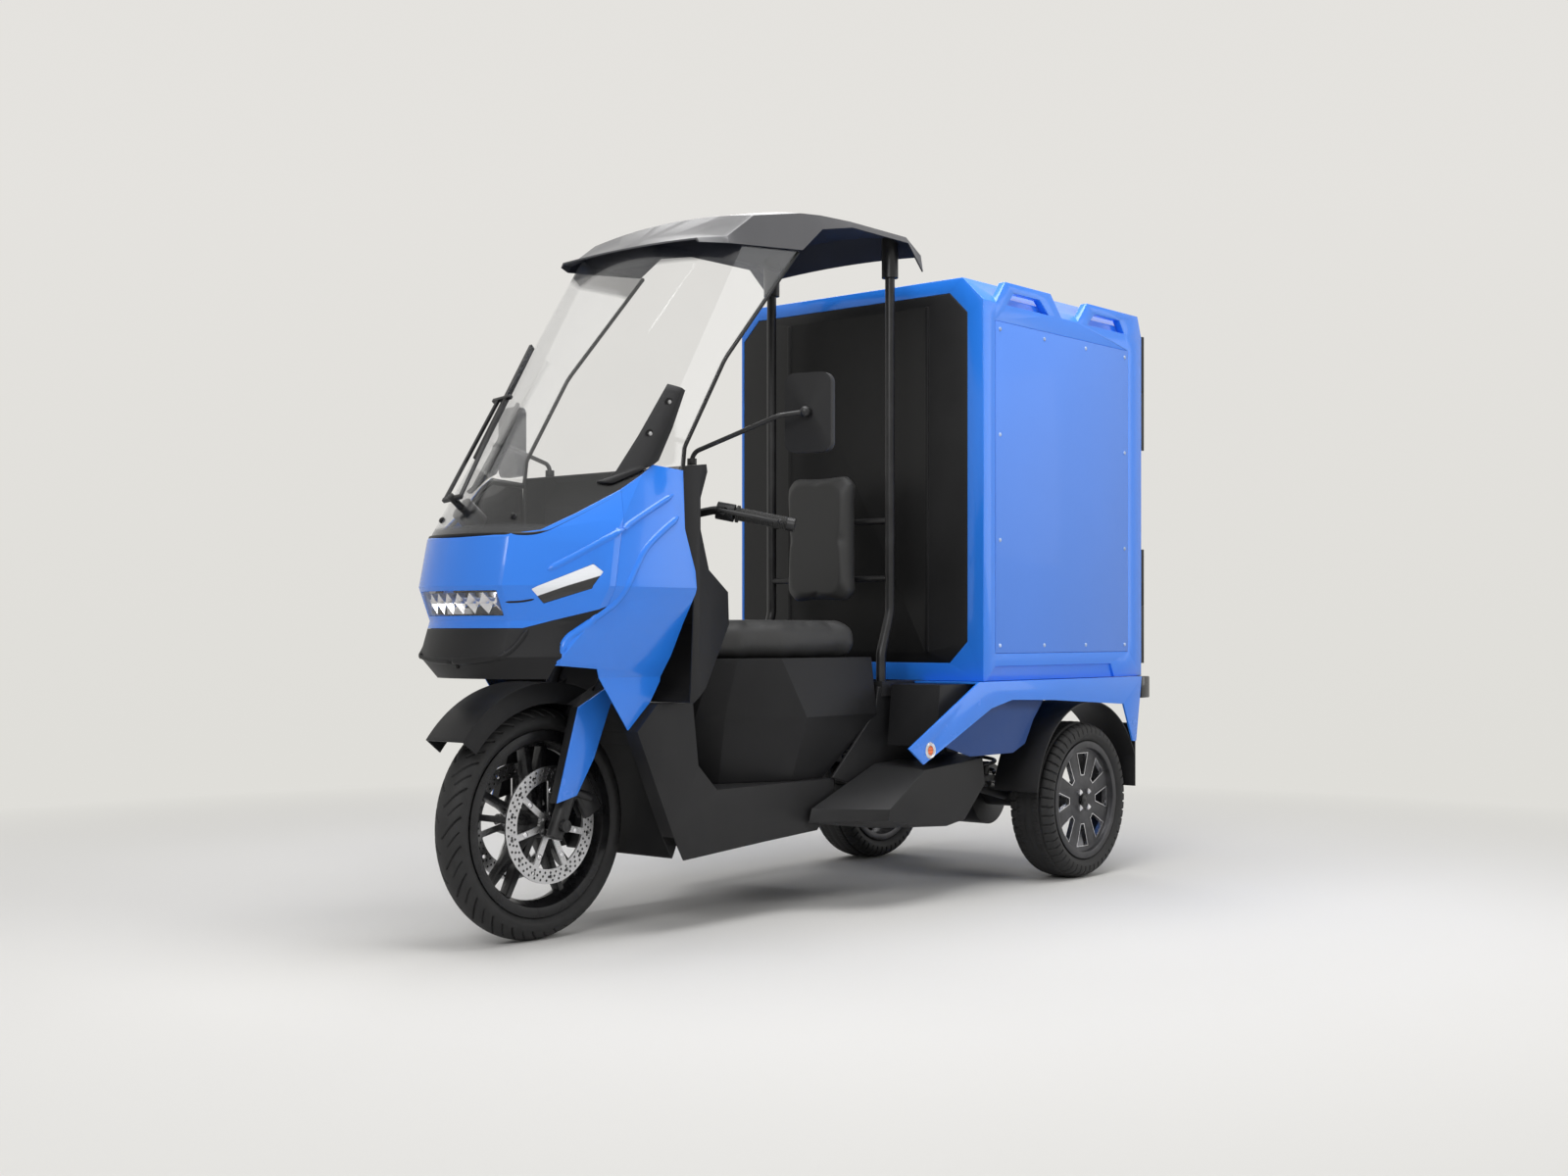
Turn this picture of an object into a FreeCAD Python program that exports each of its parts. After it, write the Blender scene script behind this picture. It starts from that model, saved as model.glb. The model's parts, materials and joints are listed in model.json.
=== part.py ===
"""Electric cargo three-wheeler: one front wheel, a canopied rider's seat and a closed cargo box.

Lengths are millimetres. The pieces are drawn with Y measured backwards from the front axle, X to the
vehicle's left and Z up from the ground. They are then moved along Y so that the origin lies on the
ground, midway between the front of the front tyre and the back of the tail lamps.
"""
import FreeCAD
import Part
import math
import os

# Driving dimensions
wheelbase = 1876.0
rear_track = 788.0
front_tyre_radius = 288.0
front_tyre_width = 95.0
rear_tyre_radius = 242.0
rear_tyre_width = 145.0
rear_overhang = 370.0
steering_rake = math.radians(24.0)
fork_offset = 40.0
box_width = 924.0
box_length = 907.0
box_height = 1165.0
box_front = 1305.0
box_bottom = 620.0
roof_height = 1925.0

# Clearances shared by the whole vehicle
panel_gap = 0.6
seat_gap = 0.4
running_gap = 0.05
overrun = 20.0

# Front tyre and rim
front_bead_radius = 212.0
front_shoulder_radius = 250.0
tyre_wall = 11.0
front_bead_half = 33.0
front_rim_flange_radius = 230.0
front_rim_well_radius = 190.0
front_rim_wall = 6.0
front_hub_radius = 34.0
front_hub_half = 58.0
spoke_pair_count = 5
spoke_pair_spread = math.radians(18.0)
spoke_root_width = 18.0
spoke_root_depth = 46.0
spoke_tip_width = 15.0
spoke_tip_depth = 26.0

# Front brake discs, calipers and axle
disc_radius = 145.0
disc_band = 36.0
disc_thickness = 5.0
disc_plane = 66.0
disc_window_count = 7
disc_arm_width = 16.0
disc_hole_count = 14
disc_hole_radius = 5.0
caliper_width = 22.0
caliper_length = 92.0
caliper_height = 58.0
caliper_slot = 9.0
caliper_turn = math.radians(30.0)
axle_radius = 10.0
axle_nut_radius = 15.0
axle_nut_width = 12.0

# Fork, its covers and the front mudguard
fork_half_spread = 94.0
fork_lower_radius = 21.0
fork_lower_length = 290.0
fork_lower_foot = 32.0
stanchion_radius = 16.5
stanchion_start = 150.0
crown_start = 480.0
crown_height = 34.0
crown_half_depth = 34.0
stem_radius = 17.0
head_tube_radius = 31.0
head_tube_start = 530.0
head_tube_length = 170.0
suspension_travel = 60.0
fork_cover_outer = 122.0
fork_cover_inner = 66.0
fork_panel_thickness = 4.0
fork_cover_bottom = 345.0
fork_cover_height = 297.0
fork_cover_front = -28.0
fork_cover_depth = 208.0
fork_cover_shares = ((0.00, 0.00), (0.32, 0.05), (0.60, 0.35), (1.00, 1.00), (0.34, 0.78))
fender_radius = 350.0
fender_wall = 4.0
fender_half_width = 68.0
fender_front_angle = math.radians(52.0)
fender_rear_angle = math.radians(33.0)
fender_skirt = 52.0

# Handlebar, grips, levers and switches
bar_radius = 11.0
bar_bend = 60.0
bar_along_stem = 850.0
bar_clamp_half = 32.0
bar_knee_x = 110.0
bar_knee_rise = 6.0
grip_start_x = 262.0
grip_end_x = 372.0
grip_sweep = 0.66
grip_drop = 0.24
bar_kick_back = 86.0
bar_kick_rise = 18.0
grip_radius = 17.0
grip_bore_gap = 0.06
bar_weight_radius = 18.0
bar_weight_length = 16.0
switch_radius = 23.0
switch_length = 46.0
lever_length = 150.0
lever_reach = 50.0
lever_width = 14.0
lever_thickness = 9.0
lever_tip_radius = 7.0
lever_bracket_radius = 11.0
button_radius = 6.0
button_height = 9.0
button_stand = 5.0
display_width = 150.0
display_depth = 70.0
display_thickness = 26.0
display_tilt = math.radians(35.0)
display_hood = 8.0

# Front fairing: one master form, given as plan bows at rising heights, then split into panels
fairing_wall = 3.5
fairing_back = 330.0
chin_level = 650.0
chin_front = -222.0
chin_corner_x = 120.0
chin_corner_y = -198.0
chin_half = 214.0
chin_side_y = -110.0
bumper_level = 702.0
bumper_front = -264.0
bumper_corner_x = 150.0
bumper_corner_y = -228.0
bumper_half = 240.0
bumper_side_y = -120.0
lamp_level = 788.0
lamp_front = -236.0
lamp_corner_x = 148.0
lamp_corner_y = -200.0
lamp_half = 268.0
lamp_side_y = -46.0
crease_level = 870.0
crease_front = -268.0
crease_corner_x = 152.0
crease_corner_y = -230.0
crease_half = 300.0
crease_side_y = -24.0
sill_level = 985.0
sill_front = -246.0
sill_corner_x = 150.0
sill_corner_y = -206.0
sill_half = 298.0
sill_side_y = -6.0
shoulder_level = 1172.0
brow_drop = 150.0
brow_level = roof_height - brow_drop
brow_front = 362.0
brow_corner_x = 246.0
brow_corner_y = 398.0
brow_half = 294.0
brow_side_y = 470.0

# Splits of the front fairing, as shares of its reach along Y and its height
fairing_start = -300.0
fairing_reach = 600.0
fairing_foot = 500.0
fairing_rise = 700.0
bumper_split_shares = ((0.00, 0.214), (0.00, 0.385), (0.20, 0.385), (0.48, 0.46), (0.315, 0.35),
                       (0.29, 0.26),
                       (0.29, 0.214))
nose_split_shares = ((0.00, 0.386), (0.20, 0.386), (0.479, 0.4612), (0.56, 0.86), (0.528, 0.844),
                     (0.40, 0.779),
                     (0.265, 0.717), (0.09, 0.693), (0.00, 0.693))
side_split_shares = ((0.291, 0.26), (0.316, 0.349), (0.4805, 0.4595), (0.5612, 0.861), (0.707, 0.953),
                     (0.885, 0.943),
                     (0.895, 0.737), (0.955, 0.591), (0.965, 0.510), (0.890, 0.196), (0.830, 0.121),
                     (0.705, 0.027),
                     (0.513, 0.246))

# Lamps in the nose
headlamp_half = 136.0
headlamp_bottom = 800.0
headlamp_height = 58.0
headlamp_depth = 62.0
headlamp_cup_count = 5
headlamp_cup_share = 0.42
side_lamp_inner = 190.0
side_lamp_width = 98.0
side_lamp_bottom = 828.0
side_lamp_height = 94.0
side_lamp_shares = ((0.00, 0.36), (0.84, 1.00), (1.00, 0.80), (0.86, 0.38), (0.12, 0.00))

# Windscreen, its brackets and its wiper
screen_thickness = 4.0
screen_split_shares = ((0.00, 0.00), (0.126, 0.003), (0.211, 0.057), (0.293, 0.115), (0.406, 0.212),
                       (0.526, 0.203),
                       (0.535, 0.295), (0.694, 0.594), (1.00, 0.996), (1.00, 1.00), (0.00, 1.00))
screen_start = -260.0
screen_reach = 946.0
screen_foot = 986.0
screen_rise = brow_level - screen_foot
screen_back = 760.0
bracket_shares = ((0.00, 0.05), (0.00, 0.12), (0.74, 1.00), (1.00, 0.94), (0.62, 0.26))
bracket_start = -26.0
bracket_length = 262.0
bracket_bottom = 1104.0
bracket_height = 268.0
bracket_thickness = 5.0
wiper_pivot_x = -62.0
wiper_pivot_level = 1068.0
wiper_stand = 26.0
wiper_spindle_radius = 9.0
wiper_spindle_depth = 26.0
wiper_arm_radius = 5.0
wiper_rod_width = 8.0
wiper_arm_gap = 26.0
wiper_arm_length = 338.0
wiper_lean = math.radians(9.0)
wiper_blade_length = 400.0
wiper_blade_width = 9.0
wiper_blade_depth = 16.0
wiper_motor_length = 70.0
wiper_motor_radius = 30.0

# Legshield behind the fairing and the mirror stalks on it
legshield_half = 288.0
legshield_wall = 4.0
legshield_start = 160.0
legshield_length = 292.0
legshield_bottom = 560.0
legshield_height = 624.0
legshield_shares = ((0.360, 0.040), (0.375, 0.1234), (0.411, 0.476), (0.390, 0.567), (0.267, 0.731),
                    (0.2466, 0.963),
                    (0.257, 0.981), (0.600, 1.000), (0.617, 0.970), (0.500, 0.860), (0.500, 0.734),
                    (0.644, 0.574),
                    (0.983, 0.487), (1.000, 0.354), (0.592, 0.096), (0.407, 0.038))
legshield_rear_half = 246.0
stem_hole_radius = 30.0
mirror_foot_x = 262.0
mirror_arm_radius = 6.0
mirror_arm_bend = 30.0
mirror_foot_y = 300.0
mirror_foot_rise = 26.0
mirror_elbow_x = 510.0
mirror_elbow_y = 345.0
mirror_elbow_level = 1289.0
mirror_x = 548.0
mirror_y = 418.0
mirror_level = 1300.0
mirror_width = 124.0
mirror_height = 196.0
mirror_depth = 26.0
mirror_corner = 26.0
mirror_turn = math.radians(15.0)
mirror_ball_radius = 14.0
mirror_socket_radius = 13.0
mirror_socket_set = 10.0
mirror_rim = 5.0
mirror_glass_thickness = 3.0

# Frame
spine_radius = 24.0
spine_bend = 70.0
spine_knee_y = 352.0
spine_knee_level = 560.0
spine_foot_y = 374.0
spine_level = 246.0
spine_rear_y = 905.0
rail_half_spread = 225.0
rail_width = 40.0
rail_height = 42.0
rail_start = 1112.0
rail_end = 2186.0
crossbar_depth = 44.0
outrigger_y = 1600.0
outrigger_reach = 308.0
outrigger_depth = 60.0
pivot_y = 1480.0
pivot_level = 330.0
pivot_pin_radius = 10.0
pivot_plate_thickness = 12.0
pivot_plate_half = 30.0

# Floor pan and wheel well
floor_half = 234.0
floor_wall = 4.0
floor_start = 135.0
floor_length = 770.0
floor_bottom = 180.0
floor_height = 402.0
floor_shares = ((0.000, 0.835), (0.165, 0.175), (0.215, 0.012), (0.605, 0.062), (0.905, 0.095),
                (1.000, 0.280),
                (1.000, 0.4365), (0.375, 0.4365), (0.285, 0.600), (0.258, 1.000), (0.090, 1.000))
well_radius = 312.0
well_half = 190.0

# Seat base, seat, backrest and canopy posts
base_wall = 4.0
base_foot = 356.2
base_waist = 530.0
base_top = 690.0
base_front = 505.0
base_length = 600.0
base_half = 250.0
base_foot_shares = ((0.26, 0.03), (0.46, 0.09), (0.82, 0.42), (0.82, 0.64), (0.62, 0.68))
base_waist_shares = ((0.32, 0.00), (0.56, 0.09), (1.00, 0.44), (0.98, 0.97), (0.80, 1.00))
base_top_shares = ((0.42, 0.07), (0.60, 0.16), (0.80, 0.36), (0.90, 0.97), (0.76, 0.99))
seat_front = 540.0
seat_length = 560.0
seat_half = 205.0
seat_height = 100.0
seat_plan_shares = ((0.54, 0.00), (0.73, 0.11), (0.92, 0.39), (1.00, 0.92), (0.84, 0.99))
seat_level_shares = ((0.00, 0.93), (0.34, 1.00), (0.72, 0.985), (0.91, 0.93), (1.00, 0.80))
backrest_half = 128.0
backrest_bottom = 842.0
backrest_height = 386.0
backrest_depth = 58.0
backrest_corner_share = 0.22
backrest_depth_shares = ((0.00, 0.94), (0.35, 1.00), (0.78, 0.95), (1.00, 0.76))
post_radius = 14.0
post_half_spread = 225.0
post_y = 1175.0
post_bend = 60.0
post_knee_level = 818.0
post_foot_y = 1132.0
post_foot_level = 700.0
cross_tube_radius = 9.0
cross_tube_upper = 1083.0
cross_tube_lower = 916.0
socket_radius = 24.0
socket_drop = 142.0
post_drop = 90.0

# Roof: sections across the vehicle, as shares of its length, half width and rise
roof_front = 334.0
roof_length = 906.0
roof_half = 304.0
roof_rise = 178.0
roof_wall = 5.0
roof_lean = 8.0
roof_section_shares = ((0.000, 0.84, 0.00, 0.07, 0.11), (0.073, 0.985, 0.01, 0.12, 0.30),
                       (0.183, 0.993, 0.06, 0.51, 0.64),
                       (0.388, 1.000, 0.16, 0.72, 0.89), (0.481, 1.000, 0.55, 0.77, 0.94),
                       (0.625, 1.000, 0.70, 0.80, 1.00),
                       (0.912, 0.993, 0.70, 0.80, 0.97), (1.000, 0.974, 0.31, 0.58, 0.64))
battery_half = 112.0
battery_front = 602.0
battery_length = 285.0
battery_height = 250.0

# Cargo box
box_wall = 14.0
box_floor = 18.0
box_shoulder = 72.0
rail_thickness = 24.0
rail_rise = 66.0
rail_lengths_shares = ((0.070, 0.125, 0.395, 0.465), (0.565, 0.627, 0.972, 1.000))
handhold_height_share = 0.58
handhold_shares = ((0.135, 0.175, 0.328, 0.382), (0.632, 0.677, 0.843, 0.878))
front_panel_thickness = 6.0
front_panel_left = 405.0
front_panel_right = 452.0
front_panel_bottom = 672.0
front_panel_top = 1744.0
front_panel_chamfer = 62.0
front_rib_x = 263.0
front_rib_width = 14.0
front_rib_height = 5.0
side_panel_start = 1366.0
side_panel_end = 2124.0
side_panel_bottom = 700.0
side_panel_top = 1660.0
side_panel_thickness = 4.0
side_panel_proud = 1.0
side_recess_depth = 8.0
side_recess_shares = ((0.000, 0.000), (0.065, 1.000), (0.785, 1.000), (0.820, 0.000))
side_recess_height = 42.0
door_thickness = 26.0
door_margin = 34.0
door_gap = 2.0
door_rib_width = 60.0
door_rib_height = 8.0
door_rib_count = 3
hinge_radius = 11.0
hinge_pin_radius = 5.0
hinge_stand = 14.0
hinge_length = 368.0
hinge_upper = 1718.0
hinge_lower = 1029.0
hinge_leaf = 5.0
hinge_leaf_width = 46.0
handle_length = 150.0
handle_radius = 9.0
handle_stand = 8.0
handle_hub_radius = 22.0
handle_level = 1180.0
handle_inset = 90.0

# Rear mudguards, lamps and side cases
fender_outer = 478.0
fender_thickness = 6.0
fender_inner = 250.0
fender_start = 926.0
fender_length = 1260.0
fender_bottom = 400.0
fender_height = 219.0
fender_shares = ((0.000, 0.21), (0.265, 1.00), (1.000, 1.00), (0.972, 0.06), (0.955, 0.06), (0.908, 0.61),
                 (0.575, 0.72),
                 (0.400, 0.75), (0.314, 0.65), (0.053, 0.00))
fender_lid_start = 1262.0
reflector_y = 1022.0
reflector_level = 437.0
reflector_radius = 19.0
reflector_depth = 10.0
liner_radius = 306.0
liner_wall = 4.0
liner_inner = 318.0
liner_start_angle = math.radians(82.0)
liner_end_angle = math.radians(66.5)
flap_y = 2152.0
flap_thickness = 5.0
flap_inner = 330.0
flap_bottom = 268.0
flap_top = 470.0
tail_lamp_width = 92.0
tail_lamp_height = 70.0
tail_lamp_depth = 59.4
infill_outer = 432.0
infill_inner = 262.0
infill_shares = ((0.00, 0.00), (0.42, 0.30), (1.00, 0.86), (1.00, 1.00), (0.10, 1.00))
infill_start = 1114.0
infill_length = 190.0
infill_bottom = 440.0
case_inner = 246.0
case_outer = 400.0
case_start = 780.0
case_length = 650.0
case_bottom = 195.0
case_height = 214.0
case_inner_shares = ((0.00, 0.22), (0.02, 0.40), (0.45, 0.90), (0.98, 1.00), (1.00, 0.56), (0.84, 0.06),
                     (0.66, 0.00), (0.44, 0.05))
case_outer_shares = ((0.24, 0.24), (0.25, 0.38), (0.50, 0.84), (0.94, 0.93), (0.96, 0.58), (0.80, 0.13),
                     (0.66, 0.07), (0.46, 0.12))
case_strut_width = 40.0

# Rear axle, swing arm, shocks and rear wheels
arm_half_spread = 176.0
arm_radius = 20.0
pivot_tube_radius = 22.0
axle_tube_radius = 36.0
axle_tube_half = 296.0
motor_radius = 98.0
motor_half = 74.0
motor_shift = 24.0
stub_radius = 14.0
shock_x = 268.0
shock_body_radius = 19.0
spigot_radius = 12.0
spigot_height = 40.0
shock_body_length = 120.0
shock_seat_radius = 40.0
shock_seat_height = 10.0
shock_lug_radius = 14.0
spring_radius = 30.0
spring_wire = 5.5
spring_turns = 7
rear_bead_radius = 168.0
rear_shoulder_radius = 206.0
rear_bead_half = 58.0
rear_rim_flange = 182.0
rear_rim_wall = 7.0
rear_hub_radius = 46.0
rear_hub_half = 70.0
rear_face_thickness = 16.0
rear_face_set = 34.0
rear_window_count = 8
rear_window_inner = 74.0
rear_window_outer = 146.0
rear_window_inner_half = 11.0
rear_window_outer_half = 34.0

X_AXIS = FreeCAD.Vector(1, 0, 0)
Y_AXIS = FreeCAD.Vector(0, 1, 0)
Z_AXIS = FreeCAD.Vector(0, 0, 1)
ORIGIN = FreeCAD.Vector(0, 0, 0)
front_axle = FreeCAD.Vector(0, 0, front_tyre_radius)
rear_axle = FreeCAD.Vector(0, wheelbase, rear_tyre_radius)
fork_up = FreeCAD.Vector(0, math.sin(steering_rake), math.cos(steering_rake))
fork_back = FreeCAD.Vector(0, math.cos(steering_rake), -math.sin(steering_rake))


def vec(x, y, z):
    """A point or a direction."""
    return FreeCAD.Vector(x, y, z)


def block(x_span, y_span, z_span):
    """A box between two values on each axis."""
    size = [span[1] - span[0] for span in (x_span, y_span, z_span)]
    return Part.makeBox(*size, vec(x_span[0], y_span[0], z_span[0]))


def rod(start, end, radius):
    """A round bar from one point to another."""
    run = end - start
    return Part.makeCylinder(radius, run.Length, start, run)


def pipe(start, end, radius, bore):
    """A round tube from one point to another."""
    return rod(start, end, radius).cut(rod(start, end, bore))


def polygon_face(points):
    """A flat face with straight sides."""
    return Part.Face(Part.makePolygon(points + points[:1]))


def slab_x(outline, start, end):
    """A side-view outline of (y, z) points drawn out along X."""
    return polygon_face([vec(start, y, z) for y, z in outline]).extrude(X_AXIS * (end - start))


def slab_y(outline, start, end):
    """A front-view outline of (x, z) points drawn out along Y."""
    return polygon_face([vec(x, start, z) for x, z in outline]).extrude(Y_AXIS * (end - start))


def slab_z(outline, start, end):
    """A plan outline of (x, y) points drawn out along Z."""
    return polygon_face([vec(x, y, start) for x, y in outline]).extrude(Z_AXIS * (end - start))


def spread(shares, start, length, bottom, height):
    """Outline points from shares of a length and a height."""
    return [(start + along * length, bottom + up * height) for along, up in shares]


def mirrored(shape):
    """The same shape on the other side of the vehicle."""
    return shape.mirror(ORIGIN, X_AXIS)


def pair(shape):
    """A left shape with its right-hand twin."""
    return Part.Compound([shape, mirrored(shape)])


def biggest(shape):
    """The largest solid that a cut has left."""
    return max(shape.Solids, key=lambda solid: solid.Volume)


def bent_bar(points, radius, bend):
    """A round bar along straight runs joined by arcs of one radius."""
    edges = []
    start = points[0]
    for before, corner, after in zip(points, points[1:], points[2:]):
        back = (before - corner).normalize()
        ahead = (after - corner).normalize()
        half_turn = (math.pi - back.getAngle(ahead)) / 2
        reach = bend * math.tan(half_turn)
        middle = (back + ahead).normalize() * (bend / math.cos(half_turn) - bend)
        edges.append(Part.makeLine(start, corner + back * reach))
        start = corner + ahead * reach
        edges.append(Part.Arc(corner + back * reach, corner + middle, start).toShape())
    edges.append(Part.makeLine(start, points[-1]))
    section = Part.Wire(Part.makeCircle(radius, points[0], points[1] - points[0]))
    return Part.Wire(edges).makePipeShell([section], True, False)


def turned(section, centre):
    """A closed (x, radius) section turned about the wheel axis through a centre."""
    face = polygon_face([vec(x, 0, r) for x, r in section])
    ring = face.revolve(ORIGIN, X_AXIS, math.degrees(math.tau))
    return ring.translated(centre)


def around_x(shape, centre, count):
    """Equal copies of a shape about the wheel axis through a centre."""
    step = math.degrees(math.tau) / count
    copies = []
    for index in range(count):
        copy = shape.copy()
        copy.rotate(centre, X_AXIS, index * step)
        copies.append(copy)
    return copies


def tyre(centre, radius, width, bead_radius, flange_radius, shoulder_radius, bead_half):
    """A hollow tyre with a rounded crown."""
    half = width / 2

    def crown(edge_x, edge_r, top_r):
        return Part.Arc(vec(-edge_x, 0, edge_r), vec(0, 0, top_r), vec(edge_x, 0, edge_r)).toShape()

    inner_half = half - tyre_wall
    inner_bead = bead_half - tyre_wall / 2
    outer = crown(half, shoulder_radius, radius)
    inner = crown(inner_half, shoulder_radius, radius - tyre_wall)
    corners = []
    for side in (1, -1):
        corners.append([vec(side * half, 0, shoulder_radius), vec(side * bead_half, 0,
                                                                  flange_radius + seat_gap),
                        vec(side * bead_half, 0, bead_radius), vec(side * inner_bead, 0, bead_radius),
                        vec(side * inner_bead, 0, flange_radius),
                        vec(side * inner_half, 0, shoulder_radius)])
    edges = [outer, inner]
    for chain in corners:
        edges += [Part.makeLine(a, b) for a, b in zip(chain, chain[1:])]
    wire = Part.Wire(Part.__sortEdges__(edges))
    return Part.Face(wire).revolve(ORIGIN, X_AXIS, math.degrees(math.tau)).translated(centre)


def front_tyre():
    """The tall narrow front tyre."""
    return tyre(front_axle, front_tyre_radius, front_tyre_width, front_bead_radius,
                front_rim_flange_radius, front_shoulder_radius, front_bead_half)


def front_rim():
    """The cast front wheel: a barrel, a hub and paired spokes."""
    seat_radius = front_bead_radius - seat_gap
    seat_half = front_bead_half + seat_gap
    lip_half = seat_half + front_rim_wall
    section = [(-lip_half, front_rim_flange_radius), (-seat_half, front_rim_flange_radius),
               (-seat_half, seat_radius), (seat_half, seat_radius), (seat_half, front_rim_flange_radius),
               (lip_half, front_rim_flange_radius), (lip_half, seat_radius - front_rim_wall),
               (front_rim_wall, front_rim_well_radius), (-front_rim_wall, front_rim_well_radius),
               (-lip_half, seat_radius - front_rim_wall)]
    barrel = turned(section, front_axle)
    hub = rod(front_axle - X_AXIS * front_hub_half, front_axle + X_AXIS * front_hub_half, front_hub_radius)

    def spoke_section(reach, width, depth):
        corners = [(-depth / 2, -width / 2), (depth / 2, -width / 2), (depth / 2, width / 2),
                   (-depth / 2, width / 2)]
        points = [front_axle + vec(x, y, reach) for x, y in corners]
        return Part.makePolygon(points + points[:1])

    spoke = Part.makeLoft([spoke_section(front_hub_radius / 2, spoke_root_width, spoke_root_depth),
                           spoke_section(seat_radius - front_rim_wall, spoke_tip_width,
                                         spoke_tip_depth)], True, True)
    spokes = []
    for lean in (-spoke_pair_spread / 2, spoke_pair_spread / 2):
        leaned = spoke.copy()
        leaned.rotate(front_axle, X_AXIS, math.degrees(lean))
        spokes += around_x(leaned, front_axle, spoke_pair_count)
    bore = rod(front_axle - X_AXIS * front_hub_half, front_axle + X_AXIS * front_hub_half,
               axle_radius + running_gap)
    return barrel.fuse([hub] + spokes).cut(bore).removeSplitter()


def brake_disc():
    """The left brake disc with its carrier arms and drilled band."""
    middle = front_axle + X_AXIS * disc_plane
    half = X_AXIS * (disc_thickness / 2)
    disc = rod(middle - half, middle + half, disc_radius)
    hub_ring = pipe(front_axle + X_AXIS * (front_hub_half + seat_gap / 2), middle + half, front_hub_radius,
                    axle_radius * 2)
    window_outer = disc_radius - disc_band
    window = pipe(middle - half * 2, middle + half * 2, window_outer, front_hub_radius)
    arms = []
    for arm in around_x(block((-disc_radius, disc_radius), (-disc_arm_width / 2, disc_arm_width / 2),
                              (0, disc_radius)).translated(front_axle), front_axle, disc_window_count):
        arms.append(arm)
    hole_centre = middle + Z_AXIS * (disc_radius - disc_band / 2)
    hole = rod(hole_centre - half * 2, hole_centre + half * 2, disc_hole_radius)
    centre_hole = rod(middle - half * 2, middle + half * 2, axle_radius * 2)
    disc = disc.cut([window.cut(arms)] + around_x(hole, front_axle, disc_hole_count))
    return disc.fuse(hub_ring).cut(centre_hole)


def brake_discs():
    """Both front brake discs."""
    return pair(brake_disc())


def fork_point(along, across=0.0, side=0.0):
    """A point in the fork's own directions, measured from the front axle."""
    return front_axle + fork_up * along + fork_back * across + X_AXIS * side


def fork_lower():
    """The left sliding fork leg with its axle lug."""
    leg = rod(fork_point(-fork_lower_foot, 0, fork_half_spread),
              fork_point(fork_lower_length, 0, fork_half_spread), fork_lower_radius)
    bore = rod(fork_point(stanchion_start - suspension_travel - overrun, 0, fork_half_spread),
               fork_point(fork_lower_length, 0, fork_half_spread), stanchion_radius + running_gap)
    axle_hole = rod(front_axle, front_axle + X_AXIS * (fork_half_spread * 2), axle_radius)
    return leg.cut(bore).cut(axle_hole)


def fork_lowers():
    """Both fork legs and the axle between them."""
    reach = fork_half_spread + fork_lower_radius + axle_nut_width
    axle = rod(front_axle - X_AXIS * reach, front_axle + X_AXIS * reach, axle_radius)
    nut_start = front_axle + X_AXIS * (reach - axle_nut_width + seat_gap)
    nut = pipe(nut_start, nut_start + X_AXIS * axle_nut_width, axle_nut_radius, axle_radius)
    leg = fork_lower()
    return Part.Compound([leg, mirrored(leg), axle, nut, mirrored(nut)])


def brake_caliper():
    """The left caliper, straddling the disc behind the fork leg, with its lug."""
    reach = disc_radius - caliper_height / 3
    body = block((disc_plane - caliper_width, disc_plane + caliper_width),
                 (-caliper_height / 2, caliper_height / 2),
                 (0, caliper_length))
    body = body.translated(vec(0, reach, -caliper_length / 2))
    long_edges = [edge for edge in body.Edges if edge.Length > caliper_length * 0.9]
    body = body.makeChamfer(caliper_height / 8, long_edges).translated(front_axle)
    body.rotate(front_axle, X_AXIS, math.degrees(caliper_turn))
    slot = rod(front_axle + X_AXIS * (disc_plane - caliper_slot / 2),
               front_axle + X_AXIS * (disc_plane + caliper_slot / 2), disc_radius + caliper_slot / 2)
    leg = rod(fork_point(-fork_lower_foot, 0, fork_half_spread),
              fork_point(fork_lower_length, 0, fork_half_spread), fork_lower_radius + seat_gap)
    middle = front_axle + vec(fork_half_spread, reach * math.cos(caliper_turn),
                              reach * math.sin(caliper_turn))
    lug = rod(fork_point(caliper_length, 0, fork_half_spread), middle, caliper_width / 2)
    return biggest(body.fuse(lug).cut([leg, slot]))


def brake_calipers():
    """Both front calipers."""
    return pair(brake_caliper())


def fork_cover_outline():
    """The side view of the fork's blue cover."""
    return spread(fork_cover_shares, fork_cover_front, fork_cover_depth, fork_cover_bottom,
                  fork_cover_height)


def fork_cover_panels():
    """The coloured outer faces of the fork covers."""
    outer = fork_cover_outer
    return pair(slab_x(fork_cover_outline(), outer - fork_panel_thickness, outer))


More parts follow.
